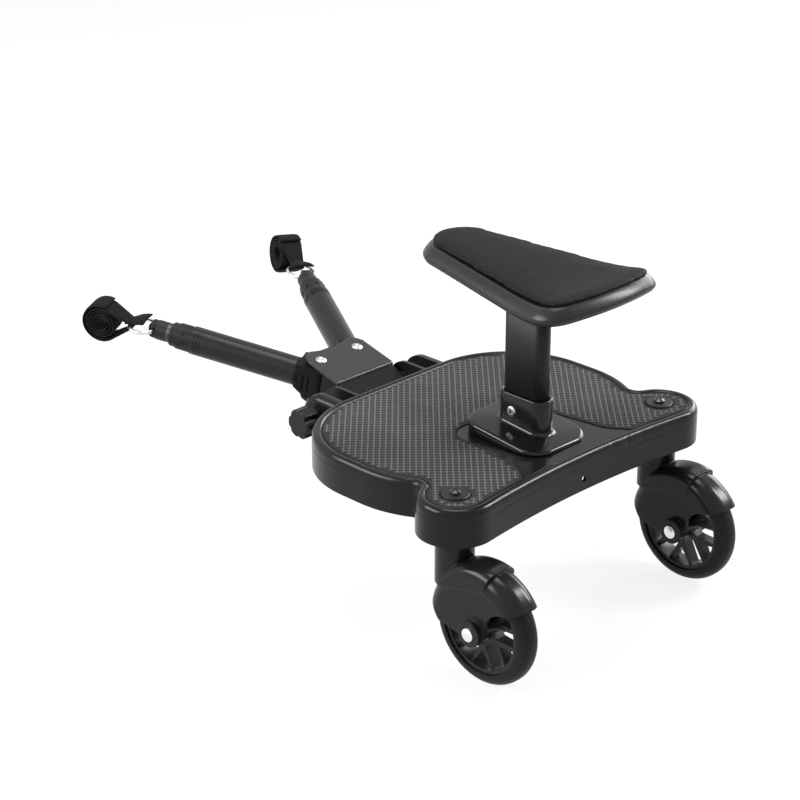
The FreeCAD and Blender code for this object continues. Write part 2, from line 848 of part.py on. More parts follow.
def make_swivels():
    """What holds each caster in its ear: disc, bolt, nut and washer."""
    discs, bolts, nuts, washers = [], [], [], []
    seat = s.deck_top - s.mat_recess
    nut_top = nut_seat()
    for name, side in SIDES:
        x = side * s.caster_spacing / 2
        bore = s.kingpin_radius + s.pin_gap
        rim = s.ear_disc_radius - s.ear_disc_chamfer
        bevel = s.ear_disc_height - s.ear_disc_chamfer
        disc = turned(
            f"ear_disc_{name}",
            "Z",
            [(0, bore), (0, s.ear_disc_radius), (bevel, s.ear_disc_radius), (s.ear_disc_height, rim)]
            + [(s.ear_disc_height, bore)],
        )
        discs.append(move(disc, x, swivel_y, seat))
        head_low = seat + s.ear_disc_height
        head_top = head_low + s.kingpin_head_height
        tail = nut_top - s.kingpin_nut_height - s.kingpin_tail
        dome = s.kingpin_head_radius / 2
        bolt = turned(
            f"kingpin_{name}",
            "Z",
            [(tail, 0), (tail, s.kingpin_radius), (head_low, s.kingpin_radius)]
            + [(head_low, s.kingpin_head_radius), (head_low + s.kingpin_head_height / 2, s.kingpin_head_radius)]
            + [(head_top, dome), (head_top, 0)],
        )
        bolts.append(move(bolt, x, swivel_y, 0))
        nuts.append(hex_nut(f"kingpin_nut_{name}", s.kingpin_nut_radius, s.kingpin_nut_height, s.kingpin_radius))
        move(nuts[-1], x, swivel_y, nut_top - s.kingpin_nut_height)
        under = s.deck_top - s.deck_skirt - s.swivel_washer_thickness
        outer = s.swivel_washer_radius
        washer = turned(
            f"swivel_washer_{name}",
            "Z",
            [(0, bore), (0, outer), (s.swivel_washer_thickness, outer), (s.swivel_washer_thickness, bore)],
        )
        washers.append(move(washer, x, swivel_y, under))
    keep(group("ear_discs", discs))
    keep(group("kingpins", bolts))
    keep(group("kingpin_nuts", nuts))
    keep(group("swivel_washers", washers))


def hex_nut(label, radius, height, bore):
    """A hexagon nut about Z, measured across its corners."""
    nut = new_body(label)
    sketch = new_sketch(nut, "XY_Plane")
    sixths = [math.radians(60 * i) for i in range(6)]
    draw_polygon(sketch, [(radius * math.cos(a), radius * math.sin(a)) for a in sixths])
    draw_circle(sketch, as_dim(0), as_dim(0), bore)
    pad(nut, sketch, height)
    return nut


# Casters


def wheel_room():
    return s.wheel_radius + s.fender_clearance


def fork_half():
    """Half the fork's width over its cheeks."""
    return s.hub_length / 2 + s.bush_flange + s.face_gap + s.cheek_thickness


def nut_seat():
    """The height of the ceiling that the caster nut sits under, inside the fork."""
    nearest = s.caster_trail.value - s.kingpin_nut_radius.value
    rise = math.sqrt(wheel_room().value ** 2 - nearest**2)
    return s.wheel_radius + as_dim(rise) + s.kingpin_nut_height + s.kingpin_nut_room


def fork_profile():
    """The fork from the side: fender, cheek, foot round the axle and scallop behind it."""
    axle = (-s.caster_trail, s.wheel_radius)
    crown = (wheel_room() + s.fender_wall).value
    tail_turn = math.degrees(math.asin(s.fender_tail_height.value / crown))
    front_turn = math.degrees(math.acos((s.cheek_front + s.caster_trail).value / crown))
    fender = arc(axle[0], axle[1], wheel_room() + s.fender_wall, front_turn, 180 - tail_turn)
    scallop_y = -s.caster_trail - s.scallop_back
    scallop_z = s.wheel_radius + s.scallop_rise
    dip = math.degrees(math.asin(s.scallop_rise.value / s.scallop_radius.value))
    scallop = arc(scallop_y, scallop_z, s.scallop_radius, -dip, 90)
    knee = V(s.cheek_front.value, (s.wheel_radius + s.cheek_front_drop).value, 0)
    heel_y = s.cheek_front - s.cheek_front_drop
    heel = V(heel_y.value, (s.wheel_radius - s.cheek_heel).value, 0)
    foot = arc(axle[0], axle[1], s.cheek_foot_radius, 180, 310)
    return [
        fender,
        (on_arc(fender, fender.start), knee),
        (knee, heel),
        (heel, on_arc(foot, foot.end)),
        foot,
        (on_arc(foot, foot.start), on_arc(scallop, scallop.start)),
        scallop,
        (on_arc(scallop, scallop.end), on_arc(fender, fender.end)),
    ]


# Where the fork's taller front housing ends behind the axle, in degrees from level.
HOUSING_TURN = 105


def fork_housing(fork, half):
    """The taller front of the fork, which the fender comes out of behind a crease."""
    radius = wheel_room() + s.fender_wall + s.housing_rise
    front_turn = math.degrees(math.acos((s.housing_front + s.caster_trail).value / radius.value))
    crown = arc(-s.caster_trail, s.wheel_radius, radius, front_turn, HOUSING_TURN)
    inner = arc(-s.caster_trail, s.wheel_radius, s.housing_foot, front_turn, HOUSING_TURN)
    crease = on_arc(inner, HOUSING_TURN)
    knee = V(s.housing_front.value, s.column_foot.value, 0)
    outline = [crown, (on_arc(crown, HOUSING_TURN), crease), (crease, knee), (knee, on_arc(crown, front_turn))]
    pad(fork, sketched(fork, "YZ_Plane", draw_chain, outline), half * 2, both_ways=True)

    def crest(edge):
        if not isinstance(edge.Curve, Part.Circle):
            return False
        outer = abs(abs(edge.CenterOfMass.x) - half.value) < IN_PLANE
        return outer and abs(edge.Curve.Radius - radius.value) < IN_PLANE

    dress(fork, "Fillet", s.housing_shoulder, crest)


def wheel_groove(fork):
    """The room that the wheel turns in, cut all round the axle with rounded corners."""
    half = fork_half() - s.cheek_thickness
    corner = s.wheel_room_round
    sketch = new_sketch(fork, "XY_Plane", s.wheel_radius)
    sketch.setExpression("AttachmentOffset.Base.y", (-s.caster_trail).text)
    right = arc(half - corner, wheel_room() - corner, corner, 0, 90)
    left = arc(corner - half, wheel_room() - corner, corner, 90, 180)
    ends = V(half.value, 0, 0), V(-half.value, 0, 0)
    roof = (on_arc(right, 90), on_arc(left, 90))
    draw_chain(sketch, [right, roof, left, (on_arc(left, 180), ends[1]), (ends[1], ends[0]), (ends[0], on_arc(right, 0))])
    room = fork.newObject("PartDesign::Groove", fork.Name + "_room")
    room.Profile = sketch
    room.ReferenceAxis = (sketch, ["H_Axis"])
    room.Angle = 360


def make_fork(name, side):
    """One moulded fork: round column on top, flat cheeks, and a fender over the wheel."""
    fork = new_body(f"caster_fork_{name}")
    half = fork_half()
    pad(fork, sketched(fork, "YZ_Plane", draw_chain, fork_profile()), half * 2, both_ways=True)
    crown = (wheel_room() + s.fender_wall).value

    def shoulder(edge):
        middle = edge.CenterOfMass
        if not isinstance(edge.Curve, Part.Circle):
            return False
        return abs(edge.Curve.Radius - crown) < IN_PLANE and abs(abs(middle.x) - half.value) < IN_PLANE

    dress(fork, "Fillet", s.fender_shoulder, shoulder)
    fork_housing(fork, half + s.housing_proud)
    top = s.deck_top - s.deck_skirt - s.swivel_washer_thickness - s.face_gap
    column = new_sketch(fork, "XY_Plane", s.column_foot)
    draw_circle(column, as_dim(0), as_dim(0), s.column_radius)
    pad(fork, column, top - s.column_foot)
    wheel_groove(fork)
    for facing in (-1, 1):
        boss = new_sketch(fork, "YZ_Plane", facing * half - (s.boss_height if facing < 0 else 0))
        draw_circle(boss, -s.caster_trail, s.wheel_radius, s.boss_radius)
        pad(fork, boss, s.boss_height)
    axle = new_sketch(fork, "YZ_Plane")
    draw_circle(axle, -s.caster_trail, s.wheel_radius, s.axle_radius + s.pin_gap / 2)
    pocket(fork, axle, (half + s.boss_height + s.cut_overrun) * 2, both_ways=True)
    bore = new_sketch(fork, "XY_Plane", top + s.cut_overrun)
    draw_circle(bore, as_dim(0), as_dim(0), s.kingpin_radius + s.pin_gap)
    pocket(fork, bore, top + s.cut_overrun - s.column_foot)
    nut_room = new_sketch(fork, "XY_Plane", nut_seat() + s.face_gap)
    draw_circle(nut_room, as_dim(0), as_dim(0), s.kingpin_nut_radius + s.kingpin_nut_room)
    pocket(fork, nut_room, nut_seat() + s.face_gap - s.column_foot)
    keep(move(fork, side * s.caster_spacing / 2, swivel_y, 0))


def make_wheel(name, side):
    """Tyre, spoked rim and two flanged bushes, turned about the axle."""
    x = side * s.caster_spacing / 2
    y = swivel_y - s.caster_trail
    tread = s.tyre_width / 2
    bed = s.wheel_radius - s.tyre_depth
    tyre = turned(
        f"wheel_tyre_{name}",
        "X",
        [(-tread, bed), (tread, bed), (tread, s.wheel_radius), (-tread, s.wheel_radius)],
    )

    def tread_edge(edge):
        return isinstance(edge.Curve, Part.Circle) and abs(edge.Curve.Radius - s.wheel_radius.value) < IN_PLANE

    dress(tyre, "Fillet", s.tyre_shoulder, tread_edge)
    keep(move(tyre, x, y, s.wheel_radius))
    keep(move(make_rim(f"wheel_rim_{name}"), x, y, s.wheel_radius))
    bushes = []
    for facing in (-1, 1):
        inner = facing * (s.hub_length / 2 - s.bush_depth)
        seat = facing * s.hub_length / 2
        face = facing * (s.hub_length / 2 + s.bush_flange)
        bore = s.axle_radius + s.pin_gap
        bush = turned(
            f"hub_bush_{name}",
            "X",
            [(inner, bore), (inner, s.bush_radius), (seat, s.bush_radius), (seat, s.hub_radius)]
            + [(face, s.hub_radius), (face, bore)],
        )
        bushes.append(move(bush, x, y, s.wheel_radius))
    keep(group(f"hub_bushes_{name}", bushes))


# The rim has this many forked spokes.
SPOKES = 6


def make_rim(label):
    """Hub, six spokes that fork towards the rim, and the ring that carries the tyre."""
    rim = new_body(label)
    half = s.hub_length / 2
    pocket_end = half - s.bush_depth
    core = s.axle_radius + s.slide_gap * 2
    add_turned(
        rim,
        "X",
        [(-half, s.bush_radius), (-half, s.hub_radius), (half, s.hub_radius), (half, s.bush_radius)]
        + [(pocket_end, s.bush_radius), (pocket_end, core), (-pocket_end, core)]
        + [(-pocket_end, s.bush_radius)],
    )
    ring_outer = s.wheel_radius - s.tyre_depth
    ring_inner = ring_outer - s.rim_ring_depth
    root = s.hub_radius - s.spoke_width / 2
    fork = s.hub_radius + s.spoke_stem
    spread = s.spoke_spread
    w = s.spoke_width
    buried = ring_inner + s.rim_ring_depth / 2
    tip = as_dim(math.sqrt(buried.value**2 - (spread + w / 2).value ** 2))
    spoke = [(-w, root), (w, root), (w, fork - s.spoke_stem / 2), (spread + w / 2, tip), (spread - w / 2, tip)]
    spoke += [(0, fork)]
    spoke += [(-spread + w / 2, tip), (-spread - w / 2, tip), (-w, fork - s.spoke_stem / 2)]
    arm = pad(rim, sketched(rim, "YZ_Plane", draw_polygon, spoke), s.spoke_depth, both_ways=True)
    doc.recompute()
    polar(rim, arm, SPOKES, "X_Axis")
    wide = s.rim_width / 2
    add_turned(rim, "X", [(-wide, ring_inner), (-wide, ring_outer), (wide, ring_outer), (wide, ring_inner)])
    return rim


def make_axle(name, side):
    """The axle bolt with its dome head on the left, and the nut on the right."""
    x = side * s.caster_spacing / 2
    y = swivel_y - s.caster_trail
    face = fork_half() + s.boss_height
    tip = face + s.axle_nut_height + s.kingpin_tail
    head = -face - s.axle_head_height
    bolt = turned(
        f"axle_bolt_{name}",
        "X",
        [(head, 0), (head, s.axle_head_radius / 2), (-face - s.axle_head_height / 2, s.axle_head_radius)]
        + [(-face, s.axle_head_radius), (-face, s.axle_radius), (tip, s.axle_radius), (tip, 0)],
    )
    keep(move(bolt, x, y, s.wheel_radius))
    nut = hex_nut(f"axle_nut_{name}", s.axle_head_radius, s.axle_nut_height, s.axle_radius)
    at = V((x + face).value, y.value, s.wheel_radius.value)
    nut.Placement = FreeCAD.Placement(at, ALONG_X)
    keep(nut)


# Hinge across the front


def make_hinge():
    """The steel rod through the lugs, its cap at the right and the clamp knob at the left."""
    y = swivel_y + hinge_y
    neck = s.lug_outer + s.face_gap + s.knob_neck_length
    start = -neck - s.knob_length / 2
    face = s.lug_outer
    end = face + s.rod_cap_height / 2
    rod = turned("hinge_rod", "X", [(start, 0), (start, s.rod_radius), (end, s.rod_radius), (end, 0)])
    keep(move(rod, 0, y, hinge_z))
    top = face + s.rod_cap_height
    cap = turned(
        "rod_cap",
        "X",
        [(face, s.rod_radius), (face, s.rod_cap_radius), (top - s.rod_cap_round, s.rod_cap_radius)]
        + [(top, s.rod_cap_radius - s.rod_cap_round), (top, 0), (end, 0), (end, s.rod_radius)],
    )
    keep(move(cap, 0, y, hinge_z))
    make_knob(y, start)


# The knob has this many finger notches.
KNOB_NOTCHES = 6


def make_knob(y, rod_start_x):
    knob = new_body("rod_knob")
    inner = -s.lug_outer - s.face_gap
    grip = inner - s.knob_neck_length
    outer = grip - s.knob_length
    bore = s.rod_radius + s.pin_gap
    floor = rod_start_x - s.face_gap
    add_turned(
        knob,
        "X",
        [(inner, bore), (inner, s.knob_neck_radius), (grip, s.knob_neck_radius), (grip, s.knob_radius)]
        + [(outer + s.knob_round, s.knob_radius), (outer, s.knob_radius - s.knob_round), (outer, 0)]
        + [(floor, 0), (floor, bore)],
    )
    notch = new_sketch(knob, "YZ_Plane", grip + s.face_gap)
    reach = s.knob_radius + s.knob_notch_radius - s.knob_notch_bite
    draw_circle(notch, as_dim(0), reach, s.knob_notch_radius)
    groove = pocket(knob, notch, s.knob_length + s.cut_overrun)
    polar(knob, groove, KNOB_NOTCHES, "X_Axis")
    keep(move(knob, 0, y, hinge_z))


# Seat


def make_seat_base():
    """The moulded foot of the seat: flange, sloping crown and rounded-square sleeve."""
    base = new_body("seat_base")
    plate = round_box(s.flange_half_width, s.flange_half_length, s.flange_corner)
    pad(base, sketched(base, "XY_Plane", draw_chain, plate), s.flange_edge)
    dress(base, "Fillet", s.flange_edge_round, level("z", s.flange_edge))
    inset = s.crown_inset
    foot = round_box(s.flange_half_width - inset, s.flange_half_length - inset, s.flange_corner - inset)
    neck = round_box(s.crown_top_half, s.crown_top_half, s.crown_top_corner)
    low = sketched(base, "XY_Plane", draw_chain, foot, s.flange_edge)
    high = sketched(base, "XY_Plane", draw_chain, neck, s.crown_top)
    crown = base.newObject("PartDesign::AdditiveLoft", "seat_base_crown")
    crown.Profile = low
    crown.Sections = [high]
    sleeve = round_box(s.sleeve_half, s.sleeve_half, s.sleeve_corner)
    pad(base, sketched(base, "XY_Plane", draw_chain, sleeve, s.crown_top), s.sleeve_top - s.crown_top)
    dress(base, "Fillet", s.sleeve_rim, level("z", s.sleeve_top))
    bore_half = s.post_half + s.slide_gap
    bore = round_box(bore_half, bore_half, s.post_corner + s.slide_gap)
    mouth = sketched(base, "XY_Plane", draw_chain, bore, s.sleeve_top)
    pocket(base, mouth, s.sleeve_top - s.sleeve_floor)
    screw = new_sketch(base, "YZ_Plane", -s.sleeve_half - s.cut_overrun)
    draw_circle(screw, as_dim(0), s.clamp_screw_rise, s.clamp_screw_radius + s.pin_gap / 2)
    pocket(base, screw, s.sleeve_half, reverse=True)
    thread = new_sketch(base, "XY_Plane")
    for across in (-1, 1):
        for along in (-1, 1):
            draw_circle(thread, across * s.base_screw_x, along * s.base_screw_y, s.base_screw_radius)
    pocket(base, thread, s.base_screw_length, reverse=True)
    keep(move(base, 0, swivel_y + s.post_place, s.deck_top))


def make_seat_screws():
    """Screws up through the deck into the base, and the clamp screw in the sleeve's left wall."""
    screws = []
    foot = s.deck_top - s.deck_top_wall - s.deck_rib_depth
    reach = s.deck_top_wall + s.deck_rib_depth + s.base_screw_length
    for x, y in base_screw_places():
        screw = turned(
            "seat_base_screw",
            "Z",
            [(-s.base_screw_head_height, 0), (-s.base_screw_head_height, s.base_screw_head_radius)]
            + [(0, s.base_screw_head_radius), (0, s.base_screw_radius), (reach, s.base_screw_radius), (reach, 0)],
        )
        screws.append(move(screw, x, y, foot))
    keep(group("seat_base_screws", screws))
    face = -s.sleeve_half
    head = face - s.clamp_head_height
    clamp = turned(
        "seat_clamp_screw",
        "X",
        [(head, 0), (head, s.clamp_head_radius - s.clamp_head_round), (head + s.clamp_head_round, s.clamp_head_radius)]
        + [(face, s.clamp_head_radius), (face, s.clamp_screw_radius)]
        + [(-s.post_half - s.pin_gap, s.clamp_screw_radius), (-s.post_half - s.pin_gap, 0)],
    )
    keep(move(clamp, 0, swivel_y + s.post_place, s.deck_top + s.clamp_screw_rise))


def saddle_seat():
    """The height of the ceiling in the saddle's socket, where the post ends."""
    return s.saddle_rim_height - s.pad_recess - s.saddle_wall - s.saddle_bolt_length


def make_seat_post():
    """A rounded-square tube, closed at its top, with the bolt that holds the saddle on it."""
    post = new_body("seat_post")
    foot = s.deck_top + s.sleeve_floor + s.post_foot_room
    height = saddle_seat() - foot
    outer = round_box(s.post_half, s.post_half, s.post_corner)
    pad(post, sketched(post, "XY_Plane", draw_chain, outer), height)
    inner_half = s.post_half - s.post_wall
    inner = round_box(inner_half, inner_half, s.post_corner - s.post_wall)
    bore = sketched(post, "XY_Plane", draw_chain, inner)
    pocket(post, bore, height - s.post_cap, reverse=True)
    hole = new_sketch(post, "XY_Plane", height + s.cut_overrun)
    draw_circle(hole, as_dim(0), as_dim(0), s.saddle_bolt_radius + s.pin_gap / 2)
    pocket(post, hole, s.post_cap + s.cut_overrun * 2)
    keep(move(post, 0, swivel_y + s.post_place, foot))
    head = saddle_seat() - s.post_cap
    tip = saddle_seat() + s.saddle_bolt_length
    bolt = turned(
        "saddle_bolt",
        "Z",
        [(head - s.saddle_bolt_head_height, 0), (head - s.saddle_bolt_head_height, s.saddle_bolt_head_radius)]
        + [(head, s.saddle_bolt_head_radius), (head, s.saddle_bolt_radius), (tip, s.saddle_bolt_radius), (tip, 0)],
    )
    keep(move(bolt, 0, swivel_y + s.post_place, 0))


def saddle_outline(inset):
    """The saddle's plan: round nose, flaring sides, round rear corners and a bowed rear edge."""
    inset = as_dim(inset)
    nose = (0, s.saddle_nose_place.value)
    nose_radius = s.saddle_nose_radius.value
    corner_radius = s.saddle_rear_corner.value
    corner = (s.saddle_rear_half.value - corner_radius, -s.saddle_rear.value + corner_radius)
    # The side is the line that touches nose and corner from outside.
    apart = math.dist(nose, corner)
    lean = math.degrees(math.asin((nose_radius - corner_radius) / apart))
    heading = math.degrees(math.atan2(nose[1] - corner[1], nose[0] - corner[0]))
    side_turn = heading - 90 + lean
    # The rear edge is an arc that touches both corners from outside.
    bow = s.saddle_rear_bow.value
    span = corner[0]
    rear_radius = corner_radius + (span**2 + bow**2) / (2 * bow)
    rear = (0, corner[1] - corner_radius - bow + rear_radius)
    swing = math.degrees(math.atan2(corner[1] - rear[1], corner[0] - rear[0]))
    right = arc(corner[0], corner[1], s.saddle_rear_corner - inset, swing, side_turn)
    left = arc(-corner[0], corner[1], s.saddle_rear_corner - inset, 180 - side_turn, 180 - swing)
    front = arc(nose[0], nose[1], s.saddle_nose_radius - inset, side_turn, 180 - side_turn)
    back = arc(rear[0], rear[1], as_dim(rear_radius) - inset, 180 - swing, 360 + swing)
    sides = [
        (on_arc(right, side_turn), on_arc(front, side_turn)),
        (on_arc(front, 180 - side_turn), on_arc(left, 180 - side_turn)),
    ]
    return [front, left, back, right] + sides


def saddle_side(low, high, belly):
    """The saddle from the side, between two heights from its rim: level, then swept up at the rear."""
    low = float(low)
    high = float(high)
    past = s.cut_overrun.value
    ahead = (s.saddle_nose_place + s.saddle_nose_radius).value + past
    start = s.saddle_kick_start.value
    run = (s.saddle_rear + s.saddle_rear_bow).value + start + past
    rise = s.saddle_kick.value
    sweep = (run**2 + rise**2) / (2 * rise)
    turn = math.degrees(math.asin(run / sweep))
    upper = arc(start, high + sweep, sweep, 270 - turn, 270)
    # The underside falls towards the nose, and leaves its own sweep without a crease.
    fall = math.radians(belly)
    foot = 270 - belly
    lower = arc(start + sweep * math.sin(fall), low + sweep * math.cos(fall), sweep, foot - turn, foot)
    nose_low = V(ahead, low - (ahead - start) * math.tan(fall), 0)
    nose_high = V(ahead, high, 0)
    return [
        lower,
        (on_arc(lower, foot), nose_low),
        (nose_low, nose_high),
        (nose_high, on_arc(upper, 270)),
        upper,
        (on_arc(upper, 270 - turn), on_arc(lower, foot - turn)),
    ]


def saddle_slab(label, inset, low, high, belly=0):
    """A slice of the saddle's form between two heights, drawn in from its edge by inset."""
    plan = new_body(label + "_plan")
    tall = (s.saddle_depth + s.saddle_kick) * 4
    pad(plan, sketched(plan, "XY_Plane", draw_chain, saddle_outline(inset)), tall, both_ways=True)
    side = new_body(label + "_side")
    wide = s.saddle_rear_half * 4
    pad(side, sketched(side, "YZ_Plane", draw_chain, saddle_side(low, high, belly)), wide, both_ways=True)
    return common(label, plan, side)


def saddle_place():
    """The saddle's pitch, nose up, about the top of the post."""
    turn = FreeCAD.Rotation(V(1, 0, 0), s.saddle_pitch.value)
    return FreeCAD.Placement(V(0, 0, 0), turn, V(0, s.post_place.value, 0))


def rounded(label, base, *rounds):
    """Rounds a finished form's edges. Each round is a radius and a test that picks its edges."""
    doc.recompute()
    result = doc.addObject("Part::Fillet", label)
    result.Label = label
    result.Base = base
    edges = []
    for size, wanted in rounds:
        for number, edge in enumerate(base.Shape.Edges, start=1):
            if wanted(edge):
                edges.append((number, float(size), float(size)))
    result.Edges = edges
    return result


def make_saddle():
    """The saddle's moulded shell, hollow under, and the thin pad let into its top."""
    at = V(0, (swivel_y + s.post_place).value, s.saddle_rim_height.value)
    place = FreeCAD.Placement(V(0, swivel_y, at.z), FreeCAD.Rotation())
    form = saddle_slab("saddle_form", 0, -s.saddle_depth, 0, s.saddle_belly.value)
    doc.recompute()
    top = (s.saddle_top_round, rim_edges(form, upper=True))
    under = (s.saddle_under_round, rim_edges(form, upper=False))
    form = rounded("saddle_rounded", form, top, under)
    recess = saddle_slab("saddle_recess", s.pad_inset, -s.pad_recess, s.saddle_depth)
    below = -s.saddle_depth * 2
    cavity = saddle_slab("saddle_cavity", s.saddle_lip, below, -s.pad_recess - s.saddle_wall)
    for slab in (form, recess, cavity):
        slab.Placement = saddle_place()
    socket_half = s.post_half + s.saddle_socket_wall
    socket = new_body("saddle_socket")
    walls = round_box(socket_half, socket_half, s.post_corner + s.saddle_socket_wall)
    pad(socket, sketched(socket, "XY_Plane", draw_chain, walls), s.saddle_depth * 2, both_ways=True)
    move(socket, 0, s.post_place, -s.saddle_depth)
    hollow = cut("saddle_hollow", cavity, fuse([socket] + saddle_ribs()))
    seat = new_body("saddle_post_room")
    fit = round_box(s.post_half, s.post_half, s.post_corner)
    pad(seat, sketched(seat, "XY_Plane", draw_chain, fit), s.saddle_depth)
    ceiling = saddle_seat() - s.saddle_rim_height
    move(seat, 0, s.post_place, ceiling - s.saddle_depth)
    bolt_room = cylinder(s.saddle_bolt_radius, s.saddle_bolt_length, (0, s.post_place, ceiling))
    shell = cut("saddle_shell", form, fuse([recess, hollow, seat, bolt_room]))
    shell.Placement = place
    keep(shell)
    cushion = saddle_slab("pad_form", s.pad_inset + s.pad_groove, -s.pad_recess, s.pad_thickness - s.pad_recess)
    doc.recompute()
    cushion = rounded("saddle_pad", cushion, (s.pad_round, rim_edges(cushion, upper=True)))
    cushion.Placement = place.multiply(saddle_place())
    keep(cushion)


def saddle_ribs():
    """A spine and cross ribs under the saddle."""
    low = -s.saddle_depth * 2
    length = s.saddle_nose_place + s.saddle_nose_radius + s.saddle_rear + s.saddle_rear_bow
    rear = -s.saddle_rear - s.saddle_rear_bow
    ribs = [box(s.saddle_rib, length, s.saddle_depth * 2, (-s.saddle_rib / 2, rear, low))]
    for row in range(int(length.value // s.saddle_rib_pitch.value)):
        y = rear + (row + 1) * s.saddle_rib_pitch
        width = s.saddle_rear_half * 2
        ribs.append(box(width, s.saddle_rib, s.saddle_depth * 2, (-s.saddle_rear_half, y, low)))
    return ribs


def rim_edges(piece, upper):
    """Picks the edges round a slab's upper or lower face."""
    middle = (piece.Shape.BoundBox.ZMin + piece.Shape.BoundBox.ZMax) / 2
    faces = [f for f in piece.Shape.Faces if abs(f.normalAt(0, 0).z) > math.sqrt(0.5)]
    chosen = [f for f in faces if (f.normalAt(0, 0).z > 0) == upper]
    hashes = {edge.hashCode() for face in chosen for edge in face.Edges}
    inner = set()
    for face in chosen:
        for other in chosen:
            if face.isSame(other):
                continue
            mine = {edge.hashCode() for edge in face.Edges}
            inner |= mine & {edge.hashCode() for edge in other.Edges}
    return lambda edge: edge.hashCode() in hashes - inner


# Tongue


def make_tongue():
    """The hinge barrel and block, two shelves that the arm knuckles turn between, bushes and rivets."""
    block = new_body("tongue_block")
    barrel_half = s.rib_place - s.rib_thickness / 2 - s.face_gap
    barrel = new_sketch(block, "YZ_Plane")
    draw_circle(barrel, as_dim(0), as_dim(0), s.hub_barrel_radius)
    pad(block, barrel, barrel_half * 2, both_ways=True)
    body = [(0, -s.hub_barrel_radius), (s.hub_barrel_radius / 2, -s.block_bottom), (s.block_length, -s.block_bottom)]
    body += [(s.block_length, s.block_top), (s.cover_rear, s.block_top), (0, s.hub_barrel_radius)]
    pad(block, sketched(block, "YZ_Plane", draw_polygon, body), s.block_half_width * 2, both_ways=True)
    lip_front = s.cover_rear + s.cover_thickness
    fold = s.block_top + s.cover_thickness - s.cover_bend
    above = s.block_top + s.cut_overrun
    lip = [(s.cover_rear, fold - s.cover_lip_drop), (lip_front, fold - s.cover_lip_drop), (lip_front, fold)]
    lip += [(s.cover_rear + s.cover_bend, s.block_top), (s.cover_rear + s.cover_bend, above), (s.cover_rear, above)]
    lip_slot = sketched(block, "YZ_Plane", draw_polygon, lip)
    pocket(block, lip_slot, (s.block_half_width + s.cut_overrun) * 2, both_ways=True)
    front = s.rivet_place + s.shelf_reach
    shelf = shelf_outline(front, s.block_half_width, s.shelf_corner)
    upper = sketched(block, "XY_Plane", draw_chain, shelf, s.block_top - s.shelf_top_thickness)
    pad(block, upper, s.shelf_top_thickness)
    lower = sketched(block, "XY_Plane", draw_chain, shelf, -s.block_bottom)
    pad(block, lower, s.shelf_bottom_thickness)
    web = [(-s.tongue_web_half, s.block_length / 2), (s.tongue_web_half, s.block_length / 2)]
    web += [(s.tongue_web_half, s.rivet_place), (-s.tongue_web_half, s.rivet_place)]
    spine = sketched(block, "XY_Plane", draw_polygon, web, -s.block_bottom)
    pad(block, spine, s.block_bottom + s.block_top)
    bore = new_sketch(block, "YZ_Plane")
    draw_circle(bore, as_dim(0), as_dim(0), s.rod_radius + s.slide_gap)
    pocket(block, bore, (barrel_half + s.cut_overrun) * 2, both_ways=True)
    for facing in (-1, 1):
        seat = new_sketch(block, "YZ_Plane", facing * (barrel_half + s.cut_overrun))
        draw_circle(seat, as_dim(0), as_dim(0), s.tongue_bush_radius)
        pocket(block, seat, s.tongue_bush_depth + s.cut_overrun, reverse=facing < 0)
    holes = new_sketch(block, "XY_Plane", s.block_top + s.cut_overrun)
    for _, side in SIDES:
        draw_circle(holes, side * s.rivet_half_spacing, s.rivet_place, s.rivet_radius)
    pocket(block, holes, s.block_top + s.block_bottom + s.cut_overrun * 2)
    block.Placement = tongue_place
    keep(block)
    bushes = []
    for facing in (-1, 1):
        inner = facing * (barrel_half - s.tongue_bush_depth)
        outer = facing * barrel_half
        bore_radius = s.rod_radius + s.pin_gap
        bush = turned(
            "tongue_bush",
            "X",
            [(inner, bore_radius), (inner, s.tongue_bush_radius), (outer, s.tongue_bush_radius), (outer, bore_radius)],
        )
        bush.Placement = tongue_place
        bushes.append(bush)
    keep(group("tongue_bushes", bushes))
    make_cover()
    make_rivets()


def shelf_outline(front, half, corner):
    """A shelf from the block forward, with round front corners."""
    inner = half - corner
    right = arc(inner, front - corner, corner, 0, 90)
    left = arc(-inner, front - corner, corner, 90, 180)
    back = s.block_length.value / 2
    heel_right = V(half.value, back, 0)
    heel_left = V(-half.value, back, 0)
    return [
        right,
        (on_arc(right, 90), on_arc(left, 90)),
        left,
        (on_arc(left, 180), heel_left),
        (heel_left, heel_right),
        (heel_right, on_arc(right, 0)),
    ]


